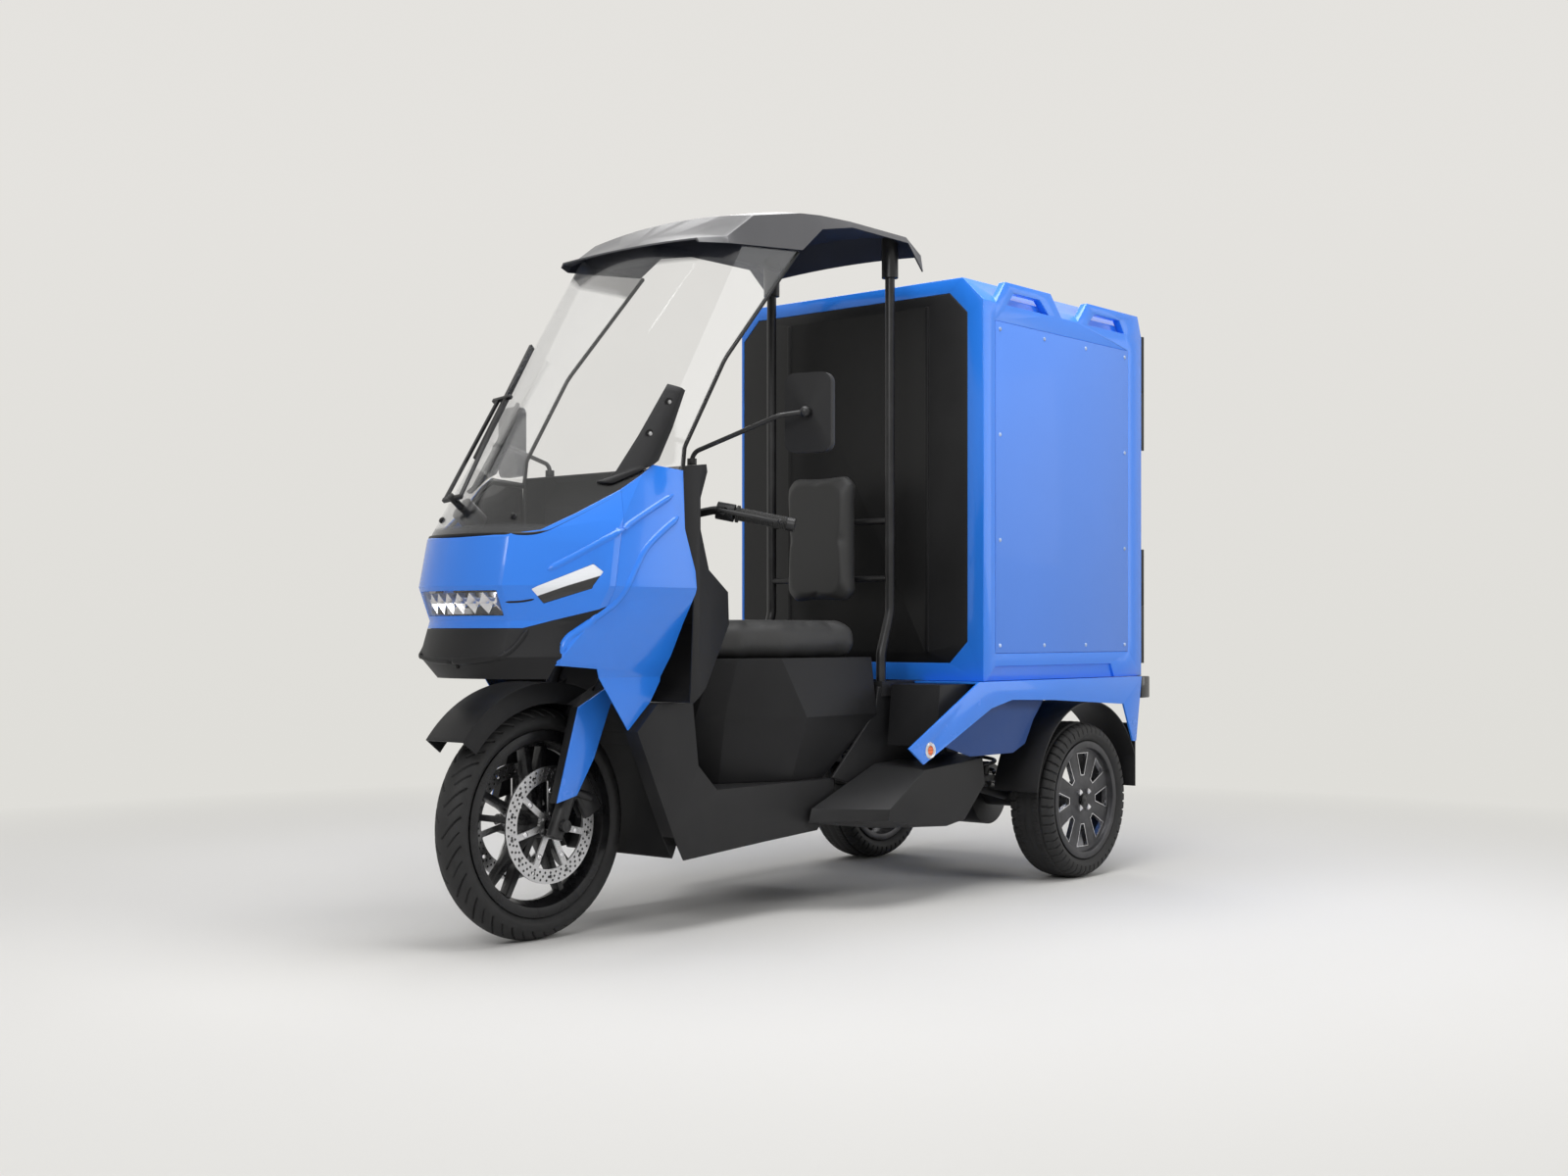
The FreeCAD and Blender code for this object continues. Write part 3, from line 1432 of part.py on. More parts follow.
def roof_form(grow):
    """The roof sheet drawn through its sections, or the same grown by a clearance."""
    return Part.makeLoft([roof_section(row, grow) for row in roof_section_shares], True, True)


def roof_shell():
    """The canopy roof."""
    return roof_form(0)


def battery_pack():
    """The battery under the seat, standing on the floor pan."""
    bottom = max(level for along, level in spread(floor_shares[3:8], floor_start, floor_length,
                                                  floor_bottom, floor_height))
    bottom = bottom + seat_gap
    pack = block((-battery_half, battery_half), (battery_front, battery_front + battery_length),
                 (bottom, bottom + battery_height))
    return pack.makeChamfer(base_wall,
                            [edge
                             for edge in pack.Edges if abs(edge.tangentAt(edge.FirstParameter).z) > 0.9])


box_half = box_width / 2
box_rear = box_front + box_length
box_top = box_bottom + box_height


def box_rail_outline(shares):
    """The side view of one raised grab rail on the box's top edge."""
    start, rise, fall, end = shares
    low = box_top - box_shoulder
    return [(box_front + start * box_length, low), (box_front + rise * box_length, low + rail_rise),
            (box_front + fall * box_length, low + rail_rise), (box_front + end * box_length, low)]


def handhold_outline(shares):
    """The side view of the hand hole through one grab rail."""
    low_start, start, end, low_end = shares
    low = box_top - box_shoulder
    high = low + rail_rise * handhold_height_share
    return [(box_front + low_start * box_length, low), (box_front + start * box_length, high),
            (box_front + end * box_length, high), (box_front + low_end * box_length, low)]


def cargo_box_shell():
    """The box body: walls, floor and roof, open at the back, with grab rails and panel recesses."""
    edge = box_half - box_shoulder
    section = [(-box_half, box_bottom), (box_half, box_bottom), (box_half, box_top - box_shoulder),
               (edge, box_top),
               (-edge, box_top), (-box_half, box_top - box_shoulder)]
    body = slab_y(section, box_front, box_rear)
    inner_half = box_half - box_wall
    inner_edge = edge - box_wall / 2
    inner_top = box_top - box_wall
    inner = [(-inner_half, box_bottom + box_floor), (inner_half, box_bottom + box_floor),
             (inner_half, inner_top - box_shoulder),
             (inner_edge, inner_top), (-inner_edge, inner_top), (-inner_half, inner_top - box_shoulder)]
    body = body.cut([slab_y(inner, box_front + box_wall, box_rear - door_thickness - door_gap),
                     door_plate(door_gap)])
    for shares, hole in zip(rail_lengths_shares, handhold_shares):
        rail = slab_x(box_rail_outline(shares), box_half - rail_thickness, box_half)
        body = body.fuse([rail, mirrored(rail)])
        window = slab_x(handhold_outline(hole), box_half - rail_thickness, box_half + overrun)
        body = body.cut([window, mirrored(window)])
    sill = spread(side_recess_shares, box_front, box_length, box_bottom - overrun,
                  side_recess_height + overrun)
    recess = slab_x(sill, box_half - side_recess_depth, box_half + overrun)
    sheet = side_panel_plate(seat_gap)
    body = body.cut([recess, mirrored(recess), sheet, mirrored(sheet), front_panel_plate(seat_gap)])
    return body.cut(hinge_room()).removeSplitter()


def side_panel_plate(grow):
    """The left side sheet, or its recess."""
    outer = box_half + side_panel_proud
    return block((outer - side_panel_thickness - grow, outer + (overrun if grow else 0)),
                 (side_panel_start - grow, side_panel_end + grow),
                 (side_panel_bottom - grow, side_panel_top + grow))


def box_side_panels():
    """The riveted sheets on both sides of the box."""
    return pair(side_panel_plate(0))


def front_panel_plate(grow):
    """The dark front sheet, or its recess."""
    cut = front_panel_chamfer
    left = front_panel_left + grow
    right = -front_panel_right - grow
    low = front_panel_bottom - grow
    high = front_panel_top + grow
    outline = [(right, low), (left - cut, low), (left, low + cut), (left, high - cut), (left - cut, high),
               (right + cut, high),
               (right, high - cut)]
    return slab_y(outline, box_front - (overrun if grow else 0), box_front + front_panel_thickness + grow)


def box_front_panel():
    """The front sheet with its upright ribs."""
    panel = front_panel_plate(0)
    ribs = []
    for middle in (front_rib_x, -front_rib_x):
        ribs.append(block((middle - front_rib_width / 2, middle + front_rib_width / 2),
                          (box_front - front_rib_height, box_front),
                          (front_panel_bottom + front_panel_chamfer / 2,
                           front_panel_top - front_panel_chamfer / 2)))
    return panel.fuse(ribs)


def hinge_axis(level):
    """A point on the door hinge's axis, at the box's left rear edge."""
    return vec(box_half - hinge_radius, box_rear + hinge_stand, level)


def hinge_room():
    """The clear space round the hinge barrels."""
    tops = (hinge_upper, hinge_lower)
    rooms = [rod(hinge_axis(top - hinge_length - seat_gap), hinge_axis(top + seat_gap),
                 hinge_radius + seat_gap) for top in tops]
    return rooms[0].fuse(rooms[1])


def door_plate(grow):
    """The flat rear door before its hinges and handle are cut in, or the opening that it closes."""
    low = box_bottom + door_margin - grow
    high = box_top - box_wall - box_shoulder - door_gap + grow
    half = box_half - box_wall - door_gap + grow
    return block((-half, half), (box_rear - door_thickness - grow * 2, box_rear + grow), (low, high))


def cargo_door():
    """The rear door with pressed ribs."""
    plate = door_plate(0)
    box = plate.BoundBox
    pitch = box.XLength / (door_rib_count + 1)
    ribs = []
    for index in range(door_rib_count):
        middle = box.XMin + pitch * (index + 1)
        ribs.append(block((middle - door_rib_width / 2, middle + door_rib_width / 2),
                          (box_rear, box_rear + door_rib_height),
                          (box.ZMin + door_margin * 2, box.ZMax - door_margin * 2)))
    hub = handle_middle()
    hole = rod(hub - Y_AXIS * door_thickness, hub + Y_AXIS * overrun, handle_radius + running_gap)
    shell = plate.fuse(ribs)
    return shell.cut([hole, hinge_room()])


def hinge_part(top, moving):
    """The fixed or the moving half of one strip hinge."""
    middle = top - hinge_length / 2
    span = (middle + seat_gap / 2, top) if moving else (top - hinge_length, middle - seat_gap / 2)
    barrel = rod(hinge_axis(span[0]), hinge_axis(span[1]), hinge_radius)
    axis = hinge_axis(middle)
    back = (box_rear + seat_gap / 2, box_rear + seat_gap / 2 + hinge_leaf)
    if moving:
        x_span = (axis.x - hinge_leaf_width, axis.x)
        pin_hole = rod(hinge_axis(top - hinge_length), hinge_axis(top), hinge_pin_radius + running_gap)
        return barrel.fuse(block(x_span, back, span)).cut(pin_hole)
    leaf = block((axis.x, box_half), back, span)
    pin = rod(hinge_axis(top - hinge_length), hinge_axis(top - hinge_leaf), hinge_pin_radius)
    return barrel.fuse([leaf, pin])


def hinge_fixed():
    """The hinge halves on the box, with their pins."""
    return Part.Compound([hinge_part(top, False) for top in (hinge_upper, hinge_lower)])


def hinge_moving():
    """The hinge halves on the door."""
    return Part.Compound([hinge_part(top, True) for top in (hinge_upper, hinge_lower)])


def handle_middle():
    """The door handle's spindle where it leaves the door."""
    return vec(handle_inset - (box_half - box_wall - door_gap), box_rear, handle_level)


def door_handle():
    """The turning door handle on its spindle."""
    hub = handle_middle()
    spindle = rod(hub - Y_AXIS * (door_thickness - door_gap), hub + Y_AXIS * handle_stand, handle_radius)
    boss = rod(hub + Y_AXIS * seat_gap, hub + Y_AXIS * (handle_stand + handle_radius), handle_hub_radius)
    arm = block((-handle_radius, handle_radius), (handle_stand, handle_stand + handle_radius),
                (-handle_length, 0)).translated(hub)
    return spindle.fuse([boss, arm])


def rear_fender():
    """The left rear mudguard: an outer band with its arm, and a lid over the wheel."""
    outline = spread(fender_shares, fender_start, fender_length, fender_bottom, fender_height)
    outer = slab_x(outline, fender_outer - fender_thickness, fender_outer)
    lid = block((fender_inner, fender_outer), (fender_lid_start, fender_start + fender_length),
                (fender_bottom + fender_height - fender_thickness, fender_bottom + fender_height))
    hole = rod(vec(0, reflector_y, reflector_level), vec(fender_outer + overrun, reflector_y,
                                                         reflector_level),
               reflector_radius + seat_gap)
    return outer.fuse(lid).cut(hole).cut(main_frame(seat_gap))


def rear_fenders():
    """Both rear mudguards."""
    return pair(rear_fender())


def side_reflectors():
    """The round reflectors in the mudguard arms."""
    face = vec(fender_outer + seat_gap, reflector_y, reflector_level)
    disc = rod(face - X_AXIS * reflector_depth, face, reflector_radius)
    return pair(disc.makeFillet(seat_gap, [disc.Edges[0]]))


def tail_lamps():
    """The lamps behind the mudguards."""
    end = fender_start + fender_length
    top = box_bottom - panel_gap
    back = end + panel_gap + tail_lamp_depth
    lamp = block((fender_outer - tail_lamp_width, fender_outer), (end + panel_gap, back),
                 (top - tail_lamp_height, top))
    rear = [edge for edge in lamp.Edges if edge.BoundBox.YMin > (end + back) / 2]
    return pair(lamp.makeChamfer(tail_lamp_height / 8, rear))


def rear_inner_panels():
    """The dark arch liners with their mud flaps, and the panels behind the seat base."""
    inner = vec(liner_inner, rear_axle.y, rear_axle.z)
    outer = vec(fender_outer - fender_thickness - seat_gap, rear_axle.y, rear_axle.z)
    ring = pipe(inner, outer, liner_radius, liner_radius - liner_wall)
    reach = liner_radius * 2
    sector = [(rear_axle.y, rear_axle.z), (rear_axle.y - reach * math.sin(liner_start_angle),
                                           rear_axle.z + reach * math.cos(liner_start_angle)),
              (rear_axle.y - reach, rear_axle.z + reach), (rear_axle.y + reach, rear_axle.z + reach),
              (rear_axle.y + reach * math.sin(liner_end_angle),
               rear_axle.z + reach * math.cos(liner_end_angle))]
    liner = ring.common(slab_x(sector, 0, box_width))
    flap = block((flap_inner, fender_outer - fender_thickness - seat_gap),
                 (flap_y, flap_y + flap_thickness), (flap_bottom, flap_top))
    infill_height = fender_bottom + fender_height - fender_thickness - panel_gap - infill_bottom
    outline = spread(infill_shares, infill_start, infill_length, infill_bottom, infill_height)
    infill = slab_x(outline, infill_inner, infill_outer)
    grown = main_frame(seat_gap)
    left = liner.fuse(flap).cut(grown)
    return Part.Compound([left, mirrored(left), infill.cut(grown), mirrored(infill.cut(grown))])


def side_case():
    """The left angular side case, its outer face smaller than its inner one."""
    faces = []
    for shares, x in ((case_inner_shares, case_inner), (case_outer_shares, case_outer)):
        points = [vec(x, y, z) for y, z in spread(shares, case_start, case_length, case_bottom,
                                                  case_height)]
        faces.append(Part.makePolygon(points + points[:1]))
    body = Part.makeLoft(faces, True, True)
    top = case_bottom + case_height
    strut = block((case_inner, case_inner + case_strut_width), (pivot_y - case_length / 4,
                                                                pivot_y - case_length / 4
                                                                + case_strut_width),
                  (top - case_height / 4, box_bottom - rail_height / 2))
    rail_lug = block((rail_half_spread + rail_width / 2 + seat_gap, case_inner + case_strut_width),
                     (pivot_y - case_length / 4, pivot_y - case_length / 4 + case_strut_width),
                     (box_bottom - rail_height, box_bottom - rail_height / 2))
    return body.fuse([strut, rail_lug]).cut(main_frame(seat_gap))


def side_cases():
    """Both side cases."""
    return pair(side_case())


def swing_arm():
    """The rear axle with its motor on two trailing arms, and the lower spring seats with their spigots."""
    pivot = vec(0, pivot_y, pivot_level)
    tube_half = rail_half_spread - pivot_plate_thickness / 2 - seat_gap
    pieces = [rod(pivot - X_AXIS * tube_half, pivot + X_AXIS * tube_half, pivot_tube_radius),
              rod(rear_axle - X_AXIS * axle_tube_half, rear_axle + X_AXIS * axle_tube_half,
                  axle_tube_radius),
              rod(rear_axle + X_AXIS * (motor_shift - motor_half),
                  rear_axle + X_AXIS * (motor_shift + motor_half), motor_radius)]
    foot = shock_foot()
    for side in (1, -1):
        across = X_AXIS * (side * arm_half_spread)
        pieces.append(rod(pivot + across, rear_axle + across, arm_radius))
        lug = vec(side * foot.x, foot.y, foot.z)
        pieces.append(rod(vec(side * arm_half_spread, foot.y, foot.z),
                          lug + X_AXIS * (side * shock_lug_radius), shock_lug_radius))
        seat = lug + Z_AXIS * shock_lug_radius
        pieces.append(rod(lug, seat + Z_AXIS * (shock_seat_height + spigot_height), spigot_radius))
        pieces.append(rod(lug + Z_AXIS * (shock_lug_radius / 2), seat + Z_AXIS * shock_seat_height,
                          shock_seat_radius))
        pieces.append(rod(rear_axle, rear_axle + X_AXIS * (side * rear_track / 2), stub_radius))
    bore = rod(pivot - X_AXIS * box_half, pivot + X_AXIS * box_half, pivot_pin_radius + running_gap)
    return pieces[0].fuse(pieces[1:]).cut(bore)


def shock_foot():
    """The left shock's lower eye, on the line of the trailing arm."""
    share = (outrigger_y - pivot_y) / (rear_axle.y - pivot_y)
    return vec(shock_x, outrigger_y, pivot_level + (rear_axle.z - pivot_level) * share)


def shock_top():
    """The level of the outrigger that the shocks hang from."""
    return box_bottom - rail_height - seat_gap


def shock_bodies():
    """The upper spring seats with the bump stops that stand inside the springs."""
    foot = shock_foot()
    top = vec(foot.x, foot.y, shock_top())
    stop = rod(top - Z_AXIS * shock_body_length, top, shock_body_radius)
    end = [edge for edge in stop.Edges if edge.BoundBox.ZMax < top.z - shock_body_length / 2]
    seat = rod(top - Z_AXIS * shock_seat_height, top, shock_seat_radius)
    return pair(stop.makeFillet(shock_body_radius / 2, end).fuse(seat))


def spring_points(low, high):
    """Points at every eighth of a turn along the spring's centre line."""
    foot = shock_foot()
    count = spring_turns * 8
    points = []
    for index in range(count + 1):
        angle = index * math.tau / 8
        level = low + (high - low) * index / count
        points.append(vec(foot.x + spring_radius * math.cos(angle),
                          foot.y + spring_radius * math.sin(angle), level))
    return points


def shock_spring():
    """The left coil spring between its seats, drawn as one unbroken tube."""
    low = shock_foot().z + shock_lug_radius + shock_seat_height + spring_wire + seat_gap
    high = shock_top() - shock_seat_height - spring_wire - seat_gap
    points = spring_points(low, high)
    edges = [Part.Arc(*points[index:index + 3]).toShape() for index in range(0, len(points) - 2, 2)]
    section = Part.Wire(Part.makeCircle(spring_wire, points[0],
                                        edges[0].tangentAt(edges[0].FirstParameter)))
    apart = [(points[b] - points[a]).Length for a in range(len(points)) for b in range(a + 4, len(points))]
    print("least gap between the spring's turns", round(min(apart) - spring_wire * 2, 2))
    return Part.Wire(edges).makePipeShell([section], True, False)


def shock_springs():
    """Both rear springs."""
    return pair(shock_spring())


def rear_middle():
    """The middle of the left rear wheel."""
    return rear_axle + X_AXIS * (rear_track / 2)


def rear_tyre():
    """The wide left rear tyre."""
    return tyre(rear_middle(), rear_tyre_radius, rear_tyre_width, rear_bead_radius,
                rear_rim_flange, rear_shoulder_radius, rear_bead_half)


def rear_rim():
    """The left rear wheel: a barrel and a dished face with trapezoid windows."""
    seat_radius = rear_bead_radius - seat_gap
    seat_half = rear_bead_half + seat_gap
    lip_half = seat_half + rear_rim_wall
    section = [(-lip_half, rear_rim_flange), (-seat_half, rear_rim_flange), (-seat_half, seat_radius),
               (seat_half, seat_radius),
               (seat_half, rear_rim_flange), (lip_half, rear_rim_flange),
               (lip_half, seat_radius - rear_rim_wall),
               (-lip_half, seat_radius - rear_rim_wall)]
    middle = rear_middle()
    barrel = turned(section, middle)
    face = middle + X_AXIS * rear_face_set
    disc = rod(face, face + X_AXIS * rear_face_thickness, seat_radius - rear_rim_wall / 2)
    hub = rod(middle - X_AXIS * rear_hub_half, face + X_AXIS * rear_face_thickness, rear_hub_radius)
    outline = [(-rear_window_inner_half, rear_window_inner), (rear_window_inner_half, rear_window_inner),
               (rear_window_outer_half, rear_window_outer), (-rear_window_outer_half, rear_window_outer)]
    window = slab_x([(middle.y + y, middle.z + z) for y, z in outline], face.x - overrun,
                    face.x + rear_face_thickness + overrun)
    bore = rod(middle - X_AXIS * (rear_hub_half * 2), middle + X_AXIS * seat_gap, stub_radius + running_gap)
    wheel = barrel.fuse([disc, hub]).cut(around_x(window, middle, rear_window_count) + [bore])
    tube_room = rod(ORIGIN + rear_axle, rear_axle + X_AXIS * (axle_tube_half + seat_gap),
                    axle_tube_radius + seat_gap)
    return wheel.cut(tube_room)


def rear_tyre_left():
    """The left rear tyre."""
    return rear_tyre()


def rear_tyre_right():
    """The right rear tyre."""
    return mirrored(rear_tyre())


def rear_rim_left():
    """The left rear wheel."""
    return rear_rim()


def rear_rim_right():
    """The right rear wheel."""
    return mirrored(rear_rim())


NODES = {
    "front_tyre": front_tyre, "front_rim": front_rim, "brake_discs": brake_discs,
    "fork_lowers": fork_lowers,
    "brake_calipers": brake_calipers, "fork_cover_panels": fork_cover_panels, "front_fender": front_fender,
    "fork_crown": fork_crown, "handlebar": handlebar, "grip_left": grip_left,
    "throttle_grip": throttle_grip,
    "switch_housings": switch_housings, "horn_button": horn_button, "ready_button": ready_button,
    "brake_lever_left": brake_lever_left, "brake_lever_right": brake_lever_right,
    "dash_display": dash_display,
    "nose_cowl": nose_cowl, "side_cowls": side_cowls, "front_bumper": front_bumper,
    "headlamp_lens": headlamp_lens,
    "headlamp_reflector": headlamp_reflector, "side_lamps": side_lamps, "windscreen": windscreen,
    "screen_brackets": screen_brackets, "wiper_arm": wiper_arm, "wiper_motor": wiper_motor,
    "legshield": legshield,
    "mirror_arms": mirror_arms, "mirror_head_left": mirror_head_left,
    "mirror_head_right": mirror_head_right,
    "mirror_glass_left": mirror_glass_left, "mirror_glass_right": mirror_glass_right,
    "main_frame": frame_node,
    "floor_pan": floor_pan, "seat_base": seat_base, "seat_cushion": seat_cushion,
    "backrest_cushion": backrest_cushion,
    "canopy_posts": canopy_posts, "roof_shell": roof_shell, "battery_pack": battery_pack,
    "cargo_box_shell": cargo_box_shell, "box_front_panel": box_front_panel,
    "box_side_panels": box_side_panels,
    "cargo_door": cargo_door, "door_handle": door_handle, "hinge_fixed": hinge_fixed,
    "hinge_moving": hinge_moving,
    "rear_fenders": rear_fenders, "rear_inner_panels": rear_inner_panels,
    "side_reflectors": side_reflectors,
    "tail_lamps": tail_lamps, "side_cases": side_cases, "swing_arm": swing_arm,
    "shock_bodies": shock_bodies,
    "shock_springs": shock_springs, "rear_tyre_left": rear_tyre_left, "rear_tyre_right": rear_tyre_right,
    "rear_rim_left": rear_rim_left, "rear_rim_right": rear_rim_right,
}


def main():
    """Build every node and write it with the origin under the vehicle's middle."""
    os.makedirs("parts", exist_ok=True)
    middle = (wheelbase + rear_overhang - front_tyre_radius) / 2
    for name, make in NODES.items():
        shape = make().translated(Y_AXIS * -middle)
        shape.exportStep("parts/" + name + ".step")
        print(name, len(shape.Solids), "solids", round(shape.Volume))


main()
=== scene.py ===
"""Looks of an electric cargo three-wheeler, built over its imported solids.

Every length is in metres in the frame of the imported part: X to the vehicle's left, Y backwards and Z up
from the ground. Rigid nodes are shown as copies with softened edges, soft and patterned pieces are built
here, and every surface has a finish made of shader nodes.
"""

import json
import logging
import math
from dataclasses import dataclass
from enum import Enum
from typing import Sequence, Union

import bmesh
import bpy
import numpy as np
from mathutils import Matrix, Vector
from mathutils.bvhtree import BVHTree


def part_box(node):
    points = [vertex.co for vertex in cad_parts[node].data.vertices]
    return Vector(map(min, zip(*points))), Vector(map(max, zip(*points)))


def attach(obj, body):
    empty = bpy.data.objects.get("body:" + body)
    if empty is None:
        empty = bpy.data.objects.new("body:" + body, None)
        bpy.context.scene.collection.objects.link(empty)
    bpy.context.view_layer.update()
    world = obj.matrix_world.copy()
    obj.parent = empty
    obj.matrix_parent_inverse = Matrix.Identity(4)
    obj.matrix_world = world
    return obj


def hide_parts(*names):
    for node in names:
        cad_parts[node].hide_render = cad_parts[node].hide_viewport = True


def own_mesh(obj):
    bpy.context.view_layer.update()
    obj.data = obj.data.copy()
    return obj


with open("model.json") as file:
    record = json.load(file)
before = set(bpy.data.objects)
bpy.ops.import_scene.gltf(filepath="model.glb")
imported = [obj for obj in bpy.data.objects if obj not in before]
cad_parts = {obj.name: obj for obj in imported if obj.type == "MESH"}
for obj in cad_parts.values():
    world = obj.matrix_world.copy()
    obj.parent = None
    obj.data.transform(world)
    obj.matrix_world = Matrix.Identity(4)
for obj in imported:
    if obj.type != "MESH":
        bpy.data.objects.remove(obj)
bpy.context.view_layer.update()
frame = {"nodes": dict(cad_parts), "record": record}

Colour = tuple[float, float, float]
Point = tuple[float, float, float]

Piece = bpy.types.Object
Material = bpy.types.Material
Node = bpy.types.Node
Socket = bpy.types.NodeSocket

log = logging.getLogger("three_wheeler")


class Side(Enum):
    """The two sides of the vehicle, with their sign along X."""

    LEFT = 1
    RIGHT = -1

    @property
    def word(self) -> str:
        """The side's name in small letters."""
        return self.name.lower()

    def mirrored(self, line: Sequence[Point]) -> list[Point]:
        """Points of the left side, brought to this side."""
        return [(self.value * x, y, z) for x, y, z in line]


class Stud(Enum):
    """The kinds of small fastener, with how many faces go round each."""

    RIVET = 14
    SCREW = 18
    NUT = 6


class Tread(Enum):
    """The tread patterns, with how often each repeats round a tyre."""

    CHEVRON = 24
    BLOCK = 52


class Value:
    """A number socket that Python expressions turn into Math nodes."""

    def __init__(self, shade: "Shade", socket: Socket) -> None:
        """Keep the socket and the shade that owns it."""
        self.shade = shade
        self.socket = socket

    def __add__(self, other: "Number") -> "Value":
        """Sum."""
        return self.shade.number("ADD", self, other)

    def __radd__(self, other: "Number") -> "Value":
        """Sum with a plain number first."""
        return self.shade.number("ADD", other, self)

    def __sub__(self, other: "Number") -> "Value":
        """Difference."""
        return self.shade.number("SUBTRACT", self, other)

    def __rsub__(self, other: "Number") -> "Value":
        """Difference with a plain number first."""
        return self.shade.number("SUBTRACT", other, self)

    def __mul__(self, other: "Number") -> "Value":
        """Product."""
        return self.shade.number("MULTIPLY", self, other)

    def __rmul__(self, other: "Number") -> "Value":
        """Product with a plain number first."""
        return self.shade.number("MULTIPLY", other, self)

    def __truediv__(self, other: "Number") -> "Value":
        """Quotient."""
        return self.shade.number("DIVIDE", self, other)

    def above(self, edge: float, soft: float) -> "Value":
        """A mask that rises from 0 to 1 across an edge.

        Args:
            edge: The value at the middle of the rise.
            soft: How far the rise spreads.

        Returns:
            The mask.
        """
        return self.shade.number("ADD", (self - edge) / soft, 0.5, clamp=True)

    def wave(self) -> "Value":
        """The sine."""
        return self.shade.number("SINE", self)

    def size(self) -> "Value":
        """The value without its sign."""
        return self.shade.number("ABSOLUTE", self)

    def root(self) -> "Value":
        """The square root."""
        return self.shade.number("SQRT", self)

    def part(self) -> "Value":
        """The part after the decimal point."""
        return self.shade.number("FRACT", self)


Number = Union[Value, float]
Tint = Union[Colour, Socket]


def toned(colour: Colour, gain: float, lift: float = 0.0) -> Colour:
    """A colour made lighter or darker, with no channel above 1."""
    return tuple(min(channel * gain + lift, 1.0) for channel in colour)


class Nodes:
    """A node tree to which every node is added in one way."""

    tree: bpy.types.NodeTree

    def source(self, value: object) -> object:
        """What feeds a socket: the start of a link, or a plain value."""
        return value

    def node(self, kind: str, settings: dict | None = None, inputs: dict | None = None) -> Node:
        """Add any node.

        Args:
            kind: The node's type.
            settings: Its properties, set first.
            inputs: Values or links for its sockets, by name or index.

        Returns:
            The new node.
        """
        made = self.tree.nodes.new(kind)
        for key, value in (settings or {}).items():
            setattr(made, key, value)
        for key, value in (inputs or {}).items():
            source = self.source(value)
            if isinstance(source, Socket):
                self.tree.links.new(source, made.inputs[key])
            else:
                made.inputs[key].default_value = source
        return made


